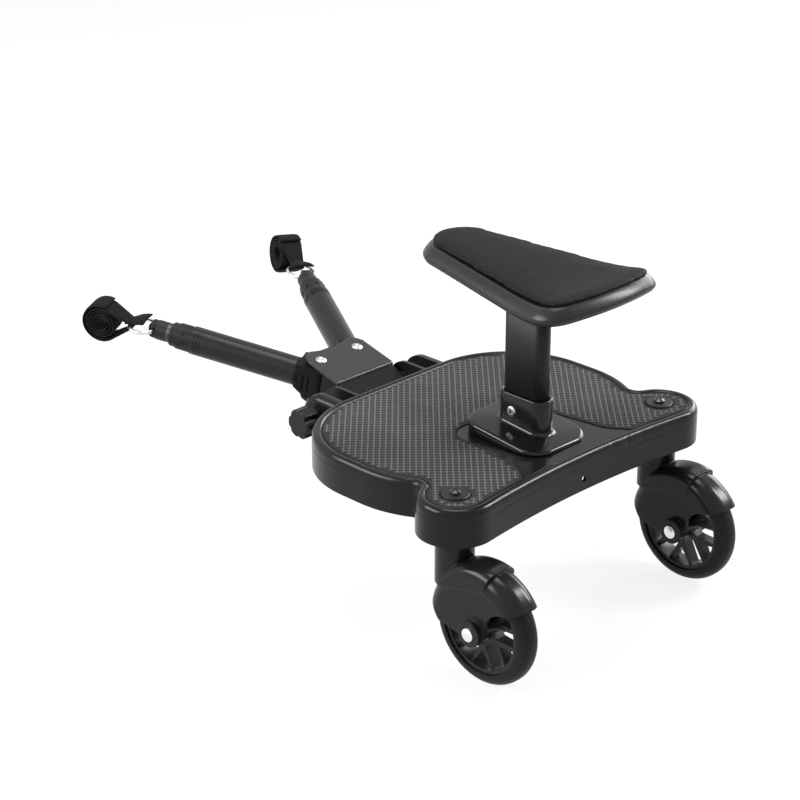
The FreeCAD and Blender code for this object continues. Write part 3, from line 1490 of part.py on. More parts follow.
def make_cover():
    """The bent steel plate over the tongue: round front corners, hollow front edge, rear edge turned down."""
    cover = new_body("tongue_cover")
    bend = s.cover_bend
    rear = s.cover_rear
    half = s.cover_half_width
    corner = s.cover_corner
    front = s.rivet_place + s.cover_reach
    inner = half - corner
    right = arc(inner, front - corner, corner, 0, 90)
    left = arc(-inner, front - corner, corner, 90, 180)
    hollow_radius = (inner * inner + s.cover_bow * s.cover_bow) / (s.cover_bow * 2)
    rise = math.degrees(math.asin(inner.value / hollow_radius.value))
    hollow = arc(as_dim(0), front - s.cover_bow + hollow_radius, hollow_radius, 270 - rise, 270 + rise)
    heel_right = V(half.value, (rear + bend).value, 0)
    heel_left = V(-half.value, (rear + bend).value, 0)
    plan = [
        right,
        hollow,
        left,
        (on_arc(left, 180), heel_left),
        (heel_left, heel_right),
        (heel_right, on_arc(right, 0)),
    ]
    pad(cover, sketched(cover, "XY_Plane", draw_chain, plan, s.block_top), s.cover_thickness)
    top = s.block_top + s.cover_thickness
    outer = arc(rear + bend, top - bend, bend, 90, 180)
    inner_bend = arc(rear + bend, top - bend, bend - s.cover_thickness, 90, 180)
    toe = (top - bend - s.cover_lip_drop).value
    lip_back = V(rear.value, toe, 0)
    lip_front = V((rear + s.cover_thickness).value, toe, 0)
    fold = [
        outer,
        (on_arc(outer, 180), lip_back),
        (lip_back, lip_front),
        (lip_front, on_arc(inner_bend, 180)),
        inner_bend,
        (on_arc(inner_bend, 90), on_arc(outer, 90)),
    ]
    pad(cover, sketched(cover, "YZ_Plane", draw_chain, fold), half * 2, both_ways=True)
    holes = new_sketch(cover, "XY_Plane", top + s.cut_overrun)
    for _, side in SIDES:
        draw_circle(holes, side * s.rivet_half_spacing, s.rivet_place, s.rivet_radius)
    pocket(cover, holes, s.cover_thickness + s.cut_overrun * 2)
    cover.Placement = tongue_place
    keep(cover)


def make_rivets():
    """The two rivets that the arms swing on, with dimpled heads over the cover."""
    rivets = []
    top = s.block_top + s.cover_thickness
    crown = top + s.rivet_head_height
    low = -s.block_bottom
    for _, side in SIDES:
        rivet = turned(
            "arm_rivet",
            "Z",
            [(low - s.rivet_head_height, 0), (low - s.rivet_head_height, s.rivet_head_radius / 2)]
            + [(low, s.rivet_head_radius), (low, s.rivet_radius), (top, s.rivet_radius)]
            + [(top, s.rivet_head_radius), (crown, s.rivet_head_radius / 2), (crown, s.rivet_dimple_radius)]
            + [(crown - s.rivet_dimple_depth, 0)],
        )
        at = FreeCAD.Placement(V(side * s.rivet_half_spacing.value, s.rivet_place.value, 0), FreeCAD.Rotation())
        rivet.Placement = tongue_place.multiply(at)
        rivets.append(rivet)
    keep(group("arm_rivets", rivets))


# Arms


def make_knuckle(name, place):
    """The moulded inner end of an arm: eye on the rivet, slotted cheeks, flange and spigot."""
    knuckle = new_body(f"arm_knuckle_{name}")
    low = -s.block_bottom + s.shelf_bottom_thickness + s.face_gap
    high = s.block_top - s.shelf_top_thickness - s.face_gap
    eye = arc(as_dim(0), as_dim(0), s.knuckle_radius, 180, 360)
    reach = s.knuckle_reach.value
    wide = s.knuckle_radius.value
    toe_right = V(wide, reach, 0)
    toe_left = V(-wide, reach, 0)
    plan = [eye, (V(wide, 0, 0), toe_right), (toe_right, toe_left), (toe_left, V(-wide, 0, 0))]
    pad(knuckle, sketched(knuckle, "XY_Plane", draw_chain, plan, low), high - low)
    slope = [(s.knuckle_slope_start, low), (s.knuckle_reach, low), (s.knuckle_reach, -s.arm_tube_radius)]
    wedge = sketched(knuckle, "YZ_Plane", draw_polygon, slope)
    pocket(knuckle, wedge, s.knuckle_radius * 2 + s.cut_overrun, both_ways=True)
    flange = s.knuckle_flange_radius
    seat = tube_start()
    spigot = s.arm_tube_radius - s.arm_tube_wall
    tip = seat + s.knuckle_spigot_length
    profile = [(0, seat - s.knuckle_flange_length), (flange, seat - s.knuckle_flange_length), (flange, seat)]
    profile += [(spigot, seat), (spigot, tip), (0, tip)]
    along = sketched(knuckle, "XY_Plane", draw_polygon, profile)
    along.AttachmentOffset = tube_place()
    along.setExpression("AttachmentOffset.Base.z", (-s.arm_drop).text)
    along.setExpression("AttachmentOffset.Rotation.Angle", (-s.arm_droop).text)
    revolve(knuckle, along, "V_Axis")
    slots = new_sketch(knuckle, "YZ_Plane")
    middle = (low + high) / 2
    for step in (-1, 1):
        near = s.knuckle_slope_start + s.knuckle_slot_pitch / 2 * (step + 1)
        far = near + s.knuckle_slot_width
        bottom = middle - s.knuckle_slot_height / 2
        top = middle + s.knuckle_slot_height / 2
        draw_polygon(slots, [(near, bottom), (far, bottom), (far, top), (near, top)])
    slots.setExpression("AttachmentOffset.Base.z", (s.knuckle_radius - s.knuckle_slot_depth).text)
    pocket(knuckle, slots, s.knuckle_slot_depth + s.cut_overrun, reverse=True)
    mirror = knuckle.newObject("PartDesign::Mirrored", "knuckle_slots")
    mirror.Originals = [knuckle.Tip]
    plane = next(p for p in knuckle.Origin.OriginFeatures if p.Role == "YZ_Plane")
    mirror.MirrorPlane = (plane, [""])
    knuckle.Tip = mirror
    doc.recompute()
    bore = new_sketch(knuckle, "XY_Plane", high + s.cut_overrun)
    draw_circle(bore, as_dim(0), as_dim(0), s.rivet_radius + s.pin_gap)
    pocket(knuckle, bore, high - low + s.cut_overrun * 2)
    knuckle.Placement = place
    keep(knuckle)


def tube_start():
    return s.knuckle_reach + s.knuckle_flange_length / 2


# Fine rings turned into the outer tube near its end.
TUBE_GROOVES = 3


def make_arm_tube(name, place):
    radius = s.arm_tube_radius
    bore = radius - s.arm_tube_wall
    start = tube_start()
    floor = radius - s.arm_groove_depth
    outside = [(start, radius)]
    for groove in reversed(range(TUBE_GROOVES)):
        near = s.arm_tube_end - s.arm_groove_back - groove * s.arm_groove_pitch - s.arm_groove_width
        far = near + s.arm_groove_width
        outside += [(near, radius), (near, floor), (far, floor), (far, radius)]
    profile = [(start, bore)] + outside + [(s.arm_tube_end, radius), (s.arm_tube_end, bore)]
    tube = turned(f"arm_tube_{name}", "Y", profile)
    tube.Placement = place
    keep(tube)


# Shallow finger notches round the twist collar.
COLLAR_NOTCHES = 8


def make_collar(name, place):
    """The twist collar that locks the inner tube."""
    collar = new_body(f"lock_collar_{name}")
    bore = s.inner_tube_radius + s.slide_gap
    step = collar_end - s.collar_step_length
    add_turned(
        collar,
        "Y",
        [(collar_start, bore), (collar_start, s.collar_radius), (step - s.collar_round, s.collar_radius)]
        + [(step, s.collar_step_radius), (collar_end - s.collar_round, s.collar_step_radius)]
        + [(collar_end, s.collar_step_radius - s.collar_round), (collar_end, bore)],
    )
    notch = new_sketch(collar, "XZ_Plane", s.cut_overrun - collar_start)
    reach = s.collar_radius + s.collar_notch_radius - s.collar_notch_bite
    draw_circle(notch, as_dim(0), reach, s.collar_notch_radius)
    bite = pocket(collar, notch, s.collar_notch_length + s.cut_overrun)
    polar(collar, bite, COLLAR_NOTCHES, "Y_Axis")
    collar.Placement = place
    keep(collar)


def make_slide(name, place):
    """The inner tube, its slide bush inside the arm, and the flattened eye at its outer end."""
    radius = s.inner_tube_radius
    bore = radius - s.inner_tube_wall
    start = tube_start() + s.knuckle_spigot_length + s.slide_bush_room
    tube = turned(f"inner_tube_{name}", "Y", [(start, bore), (start, radius), (inner_end, radius), (inner_end, bore)])
    tube.Placement = place
    keep(tube)
    ride = s.arm_tube_radius - s.arm_tube_wall - s.slide_gap
    far = start + s.slide_bush_length
    bush = turned(f"slide_bush_{name}", "Y", [(start, radius), (start, ride), (far, ride), (far, radius)])
    bush.Placement = place
    keep(bush)
    make_end_eye(name, place, radius, bore)


def make_end_eye(name, place, radius, bore):
    eye = new_body(f"end_eye_{name}")
    neck = inner_end + s.eye_neck_length
    add_turned(
        eye,
        "Y",
        [(inner_end - s.eye_plug_length, 0), (inner_end - s.eye_plug_length, bore), (inner_end, bore)]
        + [(inner_end, radius), (neck, radius), (neck, 0)],
    )
    wide = s.eye_half_width
    tall = s.eye_half_height
    blade = [(-wide, inner_end), (wide, inner_end), (wide, eye_end), (-wide, eye_end)]
    pad(eye, sketched(eye, "XY_Plane", draw_polygon, blade), tall * 2, both_ways=True)

    def tip(edge):
        middle = edge.CenterOfMass
        return abs(middle.y - eye_end.value) < IN_PLANE and abs(abs(middle.z) - tall.value) < IN_PLANE

    dress(eye, "Fillet", s.eye_hole_setback - s.ring_wire, tip)
    hole = new_sketch(eye, "YZ_Plane")
    draw_circle(hole, ring_pivot, as_dim(0), s.eye_hole_radius)
    pocket(eye, hole, wide * 2 + s.cut_overrun, both_ways=True)
    slot_start = neck + s.eye_slot_width
    slot = [(-s.eye_slot_width / 2, slot_start), (s.eye_slot_width / 2, slot_start)]
    slot += [(s.eye_slot_width / 2, slot_start + s.eye_slot_length), (-s.eye_slot_width / 2, slot_start + s.eye_slot_length)]
    mark = sketched(eye, "XY_Plane", draw_polygon, slot, tall)
    pocket(eye, mark, s.eye_slot_depth)
    eye.Placement = place
    keep(eye)


def ring_solid(label, wire, place):
    """A solid on the line of the round ring that hangs in the eye, with this wire radius."""
    ring = primitive("Torus", {"Radius1": s.ring_radius, "Radius2": wire}, (0, 0, 0))
    ring.Label = label
    ring.Placement = place.multiply(FreeCAD.Placement(V(0, (ring_pivot + s.ring_radius).value, 0), FreeCAD.Rotation()))
    return ring


# Half turns of the strap inside the outer layer of its roll.
ROLL_HALF_TURNS = 6


def roll_gap():
    """The spiral gap between the layers of the rolled strap, and the open core it ends in."""
    gap = s.strap_layer_gap
    pitch = s.strap_thickness + gap
    outermost = s.strap_loop_radius - s.strap_thickness - gap / 2 - pitch / 4
    outer, inner = [], []
    for turn in range(ROLL_HALF_TURNS + 2):
        upper = turn % 2 == 0
        center = loop_center + (pitch / 4 if upper else -pitch / 4)
        radius = outermost - turn * pitch / 2
        begin, end = (0, 180) if upper else (180, 360)
        outer.append(arc(center, as_dim(0), radius + gap / 2, begin, end))
        if turn < ROLL_HALF_TURNS:
            inner.append(arc(center, as_dim(0), radius - gap / 2, begin, end))
    mouth = (on_arc(outer[0], 0), on_arc(inner[0], 0))
    tip = (on_arc(outer[-1], 360), on_arc(inner[-1], 360))
    return outer + inner + [mouth, tip]


def make_strap(name, place):
    """The hook-and-loop band: rolled up, pinched where it goes round the ring, with a flared tail."""
    strap = new_body(f"strap_band_{name}")
    sketch = new_sketch(strap, "YZ_Plane")
    small = strap_eye + s.strap_thickness
    apart = (loop_center - ring_bar).value
    lean = math.degrees(math.asin((s.strap_loop_radius - small).value / apart))
    eye = arc(ring_bar, as_dim(0), small, 90 + lean, 270 - lean)
    loop = arc(loop_center, as_dim(0), s.strap_loop_radius, -90 - lean, 90 + lean)
    outline = [
        eye,
        (on_arc(eye, 270 - lean), on_arc(loop, -90 - lean)),
        loop,
        (on_arc(loop, 90 + lean), on_arc(eye, 90 + lean)),
    ]
    draw_chain(sketch, outline)
    draw_chain(sketch, roll_gap())
    pad(strap, sketch, s.strap_width, both_ways=True)
    tip = ring_pivot + s.strap_tail_start
    tail = [(tip, s.strap_tail_rise), (ring_bar, strap_eye), (ring_bar, small)]
    tail += [(tip, s.strap_tail_rise + s.strap_thickness)]
    pad(strap, sketched(strap, "YZ_Plane", draw_polygon, tail), s.strap_width, both_ways=True)
    waist = new_sketch(strap, "XY_Plane")
    for facing in (-1, 1):
        at = facing * (s.strap_waist_half + s.strap_waist_round)
        draw_circle(waist, at, ring_bar, s.strap_waist_round)
    pocket(strap, waist, s.strap_loop_radius * 2, both_ways=True)
    strap.Placement = place
    keep(cut(f"strap_{name}", strap, ring_solid(f"ring_room_{name}", strap_eye, place)))


# Assembly

make_deck_shell()
make_grip_mat()
make_swivels()
make_hinge()
make_seat_base()
make_seat_screws()
make_seat_post()
make_saddle()
make_tongue()
for name, side in SIDES:
    make_fork(name, side)
    make_wheel(name, side)
    make_axle(name, side)
    arm_frame = tongue_place.multiply(arm_place(side, s.arm_splay.value))
    tube_frame = arm_frame.multiply(tube_place())
    ring_frame = tube_frame.multiply(ring_place(side))
    make_knuckle(name, arm_frame)
    make_arm_tube(name, tube_frame)
    make_collar(name, tube_frame)
    make_slide(name, tube_frame)
    keep(ring_solid(f"d_ring_{name}", s.ring_wire, ring_frame))
    make_strap(name, ring_frame)
doc.recompute()

failed = [o.Label for o in doc.Objects if "Invalid" in o.State or "Error" in o.State]
if failed:
    raise RuntimeError(f"these did not build: {failed}")
for node in nodes:
    if node.Shape.isNull() or not node.Shape.isValid():
        raise RuntimeError(f"{node.Label} has no valid shape")
os.makedirs("parts", exist_ok=True)
for node in nodes:
    node.Shape.exportStep(f"parts/{node.Label}.step")
print(f"{len(nodes)} nodes, swivel axes at y {swivel_y:.2f}")
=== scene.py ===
import json
import math

import bmesh
import bpy
from mathutils import Matrix, Vector, bvhtree, geometry


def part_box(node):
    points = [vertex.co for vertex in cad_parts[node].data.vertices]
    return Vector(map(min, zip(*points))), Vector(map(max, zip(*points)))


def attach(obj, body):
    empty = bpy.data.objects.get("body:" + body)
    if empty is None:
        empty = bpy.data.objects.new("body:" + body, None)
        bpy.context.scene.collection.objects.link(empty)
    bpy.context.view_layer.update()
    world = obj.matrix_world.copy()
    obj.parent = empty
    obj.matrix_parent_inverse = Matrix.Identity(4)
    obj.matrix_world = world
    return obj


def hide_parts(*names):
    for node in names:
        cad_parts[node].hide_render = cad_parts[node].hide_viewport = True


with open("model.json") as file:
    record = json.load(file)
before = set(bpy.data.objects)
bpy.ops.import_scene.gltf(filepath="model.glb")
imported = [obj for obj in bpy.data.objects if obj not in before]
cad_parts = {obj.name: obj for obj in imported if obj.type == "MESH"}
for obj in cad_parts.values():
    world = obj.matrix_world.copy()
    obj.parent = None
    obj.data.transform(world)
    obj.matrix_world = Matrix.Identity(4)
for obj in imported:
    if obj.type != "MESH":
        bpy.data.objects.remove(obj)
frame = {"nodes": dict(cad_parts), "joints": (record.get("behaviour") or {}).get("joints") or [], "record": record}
nodes = frame["nodes"]
joints = {joint["name"]: joint for joint in frame["joints"]}
mounts = {mount["name"]: mount for mount in frame["record"]["mounts"]}
scene = bpy.context.scene
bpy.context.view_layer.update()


# The deck: one injection-moulded shell with two ears over the casters and the lugs of the front
# hinge. Satin black, with the fine grain of its mould and the faint flow marks that show in the
# gloss. A roll stands up a little round its edge and holds the mat in.


class Wire:
    """One socket of a node tree. Arithmetic on it adds Math nodes, and add() any other node."""

    def __init__(self, tree, socket=None):
        self.tree = tree
        self.socket = socket

    def add(self, kind, settings, sockets, out=0):
        node = self.tree.nodes.new(kind)
        for name, value in settings.items():
            if name == "stops":
                ramp = node.color_ramp.elements
                while len(ramp) < len(value):
                    ramp.new(0.5)
                for stop, (place, shade) in zip(ramp, value):
                    stop.position = place
                    stop.color = (shade, shade, shade, 1)
            else:
                setattr(node, name, value)
        for name, value in sockets.items():
            if isinstance(value, Wire):
                self.tree.links.new(value.socket, node.inputs[name])
            else:
                node.inputs[name].default_value = value
        return Wire(self.tree, node.outputs[out])

    def math(self, operation, first, second=0.0):
        return self.add("ShaderNodeMath", {"operation": operation}, {0: first, 1: second})

    def __add__(self, other):
        return self.math("ADD", self, other)

    __radd__ = __add__

    def __sub__(self, other):
        return self.math("SUBTRACT", self, other)

    def __rsub__(self, other):
        return self.math("SUBTRACT", other, self)

    def __mul__(self, other):
        return self.math("MULTIPLY", self, other)

    def noise(self, scale, detail=2.0, rough=0.5):
        sockets = {"Vector": self, "Scale": scale, "Detail": detail, "Roughness": rough}
        return self.add("ShaderNodeTexNoise", {}, sockets)

    def stretch(self, x, y, z):
        return self.add("ShaderNodeMapping", {}, {"Vector": self, "Scale": (x, y, z)})

    def ramp(self, *stops):
        return self.add("ShaderNodeValToRGB", {"stops": stops}, {"Fac": self})

    def between(self, low, high):
        """A colour from low, where this is 0, to high, where it is 1."""
        colours = {0: self, 6: (*low, 1), 7: (*high, 1)}
        return self.add("ShaderNodeMix", {"data_type": "RGBA"}, colours, 2)

    def bump(self, height, strength=1.0, edge=0.0):
        """A normal from this height field, over edges that are softened by the radius edge."""
        sockets = {"Height": self, "Distance": height, "Strength": strength}
        if edge:
            sockets["Normal"] = self.add("ShaderNodeBevel", {"samples": 6}, {"Radius": edge})
        return self.add("ShaderNodeBump", {}, sockets)


def finish(name, dress, **constants):
    """A material: constants go on the shader's own sockets, dress(point) gives what varies by socket."""
    made = bpy.data.materials.new(name)
    made.use_nodes = True
    tree = made.node_tree
    shader = tree.nodes["Principled BSDF"]
    for socket, value in constants.items():
        shader.inputs[socket.replace("_", " ")].default_value = value
    point = Wire(tree).add("ShaderNodeTexCoord", {}, {}, "Object")
    for socket, wire in dress(point).items():
        tree.links.new(wire.socket, shader.inputs[socket])
    return made


def grey(level):
    return (level, level, level)


def moulded(name, level, gloss, grain=1500, depth=0.00006, specular=0.17, edge=0.0006):
    """Moulded plastic: mould grain, slow flow marks in the gloss, and pale rub marks."""

    def dress(point):
        flow = point.noise(11, 3)
        fine = point.noise(grain, 2)
        rubs = point.stretch(60, 60, 9).noise(3.1, 5, 0.62).ramp((0.56, 0), (0.74, 1))
        return {
            "Base Color": (flow * 0.7 + rubs * 0.3).between(grey(level * 0.8), grey(level * 1.25)),
            "Roughness": gloss + (flow - 0.5) * 0.16 + rubs * 0.07,
            "Normal": fine.bump(depth, 0.5, edge),
        }

    return finish(name, dress, Specular_IOR_Level=specular)


def paint(material, *names):
    for name in names:
        mesh = nodes[name].data
        mesh.materials.clear()
        mesh.materials.append(material)


def piece_of(name, mesh, *materials):
    """A linked piece with this bmesh, which is used up."""
    data = bpy.data.meshes.new(name)
    mesh.to_mesh(data)
    mesh.free()
    for material in materials:
        data.materials.append(material)
    piece = bpy.data.objects.new(name, data)
    scene.collection.objects.link(piece)
    return piece


deck_plastic = moulded("deck_plastic", 0.008, 0.22)
paint(deck_plastic, "deck_shell")

ROLL_SLICE = 0.011
ROLL_STEP = 0.002
ROLL_FRONT = 0.0112
ROLL_SHAPE = (
    (0.0006, -0.014), (0, -0.0065), (0.0003, -0.0036), (0.001, -0.0014), (0.0022, 0.0004), (0.0038, 0.0015),
    (0.0058, 0.002), (0.0077, 0.0017), (0.0092, 0.0007), (0.0102, -0.0006), (0.0104, -0.003),
)
SOFT_ANGLE = math.radians(60)
MERGE = 1e-6


def deck_outline(top, front):
    """The deck's outer edge a little below its top, without the lugs that stand out at the front."""
    wall = bmesh.new()
    wall.from_mesh(nodes["deck_shell"].data)
    bmesh.ops.remove_doubles(wall, verts=wall.verts, dist=MERGE)
    parts = wall.verts[:] + wall.edges[:] + wall.faces[:]
    found = bmesh.ops.bisect_plane(wall, geom=parts, plane_co=(0, 0, top - ROLL_SLICE), plane_no=(0, 0, 1))
    edges = {edge for edge in found["geom_cut"] if isinstance(edge, bmesh.types.BMEdge)}
    loops = []
    while edges:
        line = list(edges.pop().verts)
        onward = True
        while onward:
            onward = [edge for edge in line[-1].link_edges if edge in edges]
            for edge in onward[:1]:
                edges.discard(edge)
                line.append(edge.other_vert(line[-1]))
        loops.append([vertex.co.xy.copy() for vertex in line[:-1]])
    wall.free()
    return [at for at in max(loops, key=len) if at.y < front]


def evenly(line, step):
    """Points at even steps along a closed line, turning left from its leftmost point."""
    if sum(a.cross(b) for a, b in zip(line, line[1:] + line[:1])) < 0:
        line = line[::-1]
    first = min(range(len(line)), key=lambda i: line[i][:])
    line = line[first:] + line[:first]
    made = []
    left = 0.0
    for a, b in zip(line, line[1:] + line[:1]):
        run = (b - a).length
        while left < run:
            made.append(a.lerp(b, left / run))
            left += step
        left -= run
    return made


def inward(line, i, reach):
    """The direction to the inside of a closed line at its point i, from the points reach steps away."""
    run = (line[(i + reach) % len(line)] - line[i - reach]).normalized()
    return Vector((-run.y, run.x))


deck_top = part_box("seat_base")[0].z
lug_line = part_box("grip_mat")[1].y + ROLL_FRONT
outline = evenly(deck_outline(deck_top, lug_line), ROLL_STEP)
roll_mesh = bmesh.new()
rings = []
for i, at in enumerate(outline):
    side = inward(outline, i, 3)
    ring = [(*(at + side * inset), deck_top + rise) for inset, rise in ROLL_SHAPE]
    rings.append([roll_mesh.verts.new(spot) for spot in ring])
for low, high in zip(rings, rings[1:] + rings[:1]):
    for k, corner in enumerate(low):
        j = (k + 1) % len(low)
        roll_mesh.faces.new((corner, high[k], high[j], low[j]))
bmesh.ops.recalc_face_normals(roll_mesh, faces=roll_mesh.faces)
rim_roll = piece_of("deck_rim_roll", roll_mesh, deck_plastic)
rim_roll.data.shade_smooth()
rim_roll.data.set_sharp_from_angle(angle=SOFT_ANGLE)
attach(rim_roll, "deck")


# The grip mat: a rubber sheet let into the deck and cut away round the seat base. Fine ribs
# cross on the diagonal and leave small square pits, with a plain border round them.

GRIP_PITCH = 0.0057
GRIP_RIB = 0.0017
GRIP_RIB_TOP = 0.0009
GRIP_RISE = 0.0006
GRIP_BORDER = 0.0034
GRIP_TURN = math.radians(45)
GRIP_FLAT = 1e-5


def grip_rubber(name, level, gloss):
    def dress(point):
        dust = point.noise(17, 4)
        pores = point.noise(2600, 2)
        return {
            "Base Color": dust.between(grey(level * 0.75), grey(level * 1.3)),
            "Roughness": gloss + (dust - 0.5) * 0.15,
            "Normal": pores.bump(0.00008, 0.6),
        }

    return finish(name, dress, Specular_IOR_Level=0.02)


def rib_cross():
    """A plus of two ribs, one pitch long, with sloping sides."""
    arm = GRIP_PITCH / 2
    rings = []
    mesh = bmesh.new()
    for half, z in ((GRIP_RIB / 2, 0), (GRIP_RIB_TOP / 2, GRIP_RISE)):
        corner = [(arm, -half), (arm, half), (half, half)]
        ring = []
        for turn in range(4):
            spin = Matrix.Rotation(turn * math.pi / 2, 3, "Z")
            ring += [mesh.verts.new(spin @ Vector((x, y, z))) for x, y in corner]
        rings.append(ring)
    low, high = rings
    mesh.faces.new(high)
    mesh.faces.new(reversed(low))
    for i in range(len(low)):
        j = (i + 1) % len(low)
        mesh.faces.new((low[i], low[j], high[j], high[i]))
    cross = bpy.data.meshes.new("rib_cross")
    mesh.to_mesh(cross)
    mesh.free()
    return bpy.data.objects.new("rib_cross", cross)


def mat_top():
    """The flat top of the mat as one sheet, with its height."""
    source = nodes["grip_mat"].data
    height = max(v.co.z for v in source.vertices)
    sheet = bmesh.new()
    sheet.from_mesh(source)
    bmesh.ops.remove_doubles(sheet, verts=sheet.verts, dist=MERGE)
    away = [f for f in sheet.faces if abs(f.calc_center_median().z - height) > GRIP_FLAT]
    bmesh.ops.delete(sheet, geom=away, context="FACES")
    made = bpy.data.meshes.new("grip_ribs")
    sheet.to_mesh(made)
    sheet.free()
    return made, height


class Tree:
    """A geometry node tree with named inputs, whose nodes are added as a material's are."""

    def __init__(self, name, **inputs):
        self.tree = bpy.data.node_groups.new(name, "GeometryNodeTree")
        self.tree.interface.new_socket("Geometry", in_out="INPUT", socket_type="NodeSocketGeometry")
        self.names = {}
        for title, kind in inputs.items():
            made = self.tree.interface.new_socket(title, in_out="INPUT", socket_type="NodeSocket" + kind)
            self.names[title] = made.identifier
        self.tree.interface.new_socket("Geometry", in_out="OUTPUT", socket_type="NodeSocketGeometry")
        self.start = self.tree.nodes.new("NodeGroupInput")
        self.add = Wire(self.tree).add

    def get(self, title):
        return Wire(self.tree, self.start.outputs[title])

    def end(self, shape, material):
        real = self.add("GeometryNodeRealizeInstances", {}, {"Geometry": shape})
        coated = self.add("GeometryNodeSetMaterial", {}, {"Geometry": real, "Material": material})
        out = self.tree.nodes.new("NodeGroupOutput")
        self.tree.links.new(coated.socket, out.inputs["Geometry"])

    def bake(self, name, mesh, **values):
        """Runs the tree on a mesh and gives the result as a plain mesh object."""
        piece = bpy.data.objects.new(name, mesh)
        scene.collection.objects.link(piece)
        modifier = piece.modifiers.new(name, "NODES")
        modifier.node_group = self.tree
        for title, value in values.items():
            modifier[self.names[title]] = value
        bpy.context.view_layer.update()
        ready = piece.evaluated_get(bpy.context.evaluated_depsgraph_get())
        plain = bpy.data.meshes.new_from_object(ready)
        piece.modifiers.clear()
        piece.data = plain
        return piece


mat_rubber = grip_rubber("grip_mat_rubber", 0.03, 0.6)
# The ribs get a three times lighter copy of the mat's rubber: a painted highlight on their tops, against the
# darker pits between them.
rib_rubber_painted_highlight = grip_rubber("grip_rib_rubber_painted_highlight", 0.095, 0.5)
paint(mat_rubber, "grip_mat")

kinds = {"Pitch": "Float", "Rows": "Int", "Border": "Float", "Turn": "Float", "Middle": "Vector"}
grip = Tree("grip_ribs", **kinds, Rib="Object")
top_sheet = grip.get("Geometry")
rows = grip.get("Rows")
span = grip.get("Pitch") * (rows - 1)
raster = {"Size X": span, "Size Y": span, "Vertices X": rows, "Vertices Y": rows}
raster = grip.add("GeometryNodeMeshGrid", {}, raster)
spun = grip.add("ShaderNodeCombineXYZ", {}, {"Z": grip.get("Turn")})
placing = {"Geometry": raster, "Translation": grip.get("Middle"), "Rotation": spun}
raster = grip.add("GeometryNodeTransform", {}, placing)
spots = grip.add("GeometryNodeMeshToPoints", {}, {"Mesh": raster})
here = grip.add("GeometryNodeInputPosition", {}, {})
lift = grip.add("ShaderNodeVectorMath", {"operation": "ADD"}, {0: here, 1: (0, 0, 0.01)})
ray = {"Target Geometry": top_sheet, "Source Position": lift, "Ray Direction": (0, 0, -1), "Ray Length": 0.02}
over = grip.add("GeometryNodeRaycast", {}, ray, "Is Hit")
sharing = grip.add("GeometryNodeInputMeshEdgeNeighbors", {}, {})
rim_edge = grip.add("FunctionNodeCompare", {"data_type": "INT", "operation": "EQUAL"}, {2: sharing, 3: 1})
parted = {"Geometry": top_sheet, "Selection": rim_edge}
rim = grip.add("GeometryNodeSeparateGeometry", {"domain": "EDGE"}, parted)
reach = grip.add("GeometryNodeProximity", {"target_element": "EDGES"}, {0: rim}, "Distance")
clear = grip.add("FunctionNodeCompare", {"operation": "GREATER_THAN"}, {0: reach, 1: grip.get("Border")})
inside = grip.add("FunctionNodeBooleanMath", {"operation": "AND"}, {0: over, 1: clear})
rib_shape = grip.add("GeometryNodeObjectInfo", {}, {"Object": grip.get("Rib")}, "Geometry")
laid = {"Points": spots, "Selection": inside, "Instance": rib_shape, "Rotation": spun}
grip.end(grip.add("GeometryNodeInstanceOnPoints", {}, laid), rib_rubber_painted_highlight)

sheet_mesh, mat_height = mat_top()
low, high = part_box("grip_mat")
middle = ((low.x + high.x) / 2, (low.y + high.y) / 2, mat_height)
grip_rows = int(1.5 * (high - low).length / GRIP_PITCH)
cross = rib_cross()
layout = {"Pitch": GRIP_PITCH, "Rows": grip_rows, "Border": GRIP_BORDER, "Turn": GRIP_TURN}
grip_ribs = grip.bake("grip_ribs", sheet_mesh, Middle=middle, Rib=cross, **layout)
bpy.data.objects.remove(cross)
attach(grip_ribs, "deck")


# The caster bolts: a black disc let into each ear, a dome-headed bolt with a star socket
# through it, and below the ear a washer and a nut that the fork hides.

disc_plastic = moulded("disc_plastic", 0.010, 0.42)
washer_plastic = moulded("washer_plastic", 0.02, 0.5, edge=0.0003)


def metal(name, level, gloss, scratch, metallic=1.0):
    """Plated or blackened steel: fine turning lines and a cloudy gloss."""

    def dress(point):
        cloud = point.noise(70, 3)
        lines = point.stretch(1, 1, 14).noise(scratch, 4, 0.7)
        return {
            "Base Color": cloud.between(grey(level * 0.8), grey(level)),
            "Roughness": gloss + (lines - 0.5) * 0.18 + (cloud - 0.5) * 0.1,
            "Normal": lines.bump(0.00002, 0.4, 0.0003),
        }

    return finish(name, dress, Metallic=metallic)


def socket_head(name, level, gloss, middle, across, size):
    """A screw whose head has a six-lobed socket about the middle, in the plane of the two axes across. The socket
    is painted nearly black, as painted shade in its recess.
    """

    def dress(point):
        folded = point.add("ShaderNodeVectorMath", {"operation": "ABSOLUTE"}, {0: point})
        centre = tuple(abs(c) for c in middle)
        offset = point.add("ShaderNodeVectorMath", {"operation": "SUBTRACT"}, {0: folded, 1: centre})
        u, v = (point.add("ShaderNodeSeparateXYZ", {}, {0: offset}, axis) for axis in across)
        lobes = point.math("COSINE", point.math("ARCTAN2", v, u) * 6)
        reach = point.math("SQRT", u * u + v * v)
        # The socket's mask: the bump presses it in, and its colour is painted shade, nearly black.
        shaded_hole = point.math("GREATER_THAN", lobes * (size * 0.2) + size * 0.8 - reach, 0)
        cloud = point.noise(300, 3)
        return {
            "Base Color": (cloud * (1 - shaded_hole)).between(grey(level * 0.08), grey(level * 1.6)),
            "Roughness": gloss + cloud * 0.1 + shaded_hole * 0.3,
            "Normal": (1 - shaded_hole).bump(0.0006, 0.9, 0.0004),
        }

    return finish(name, dress, Metallic=0.9)


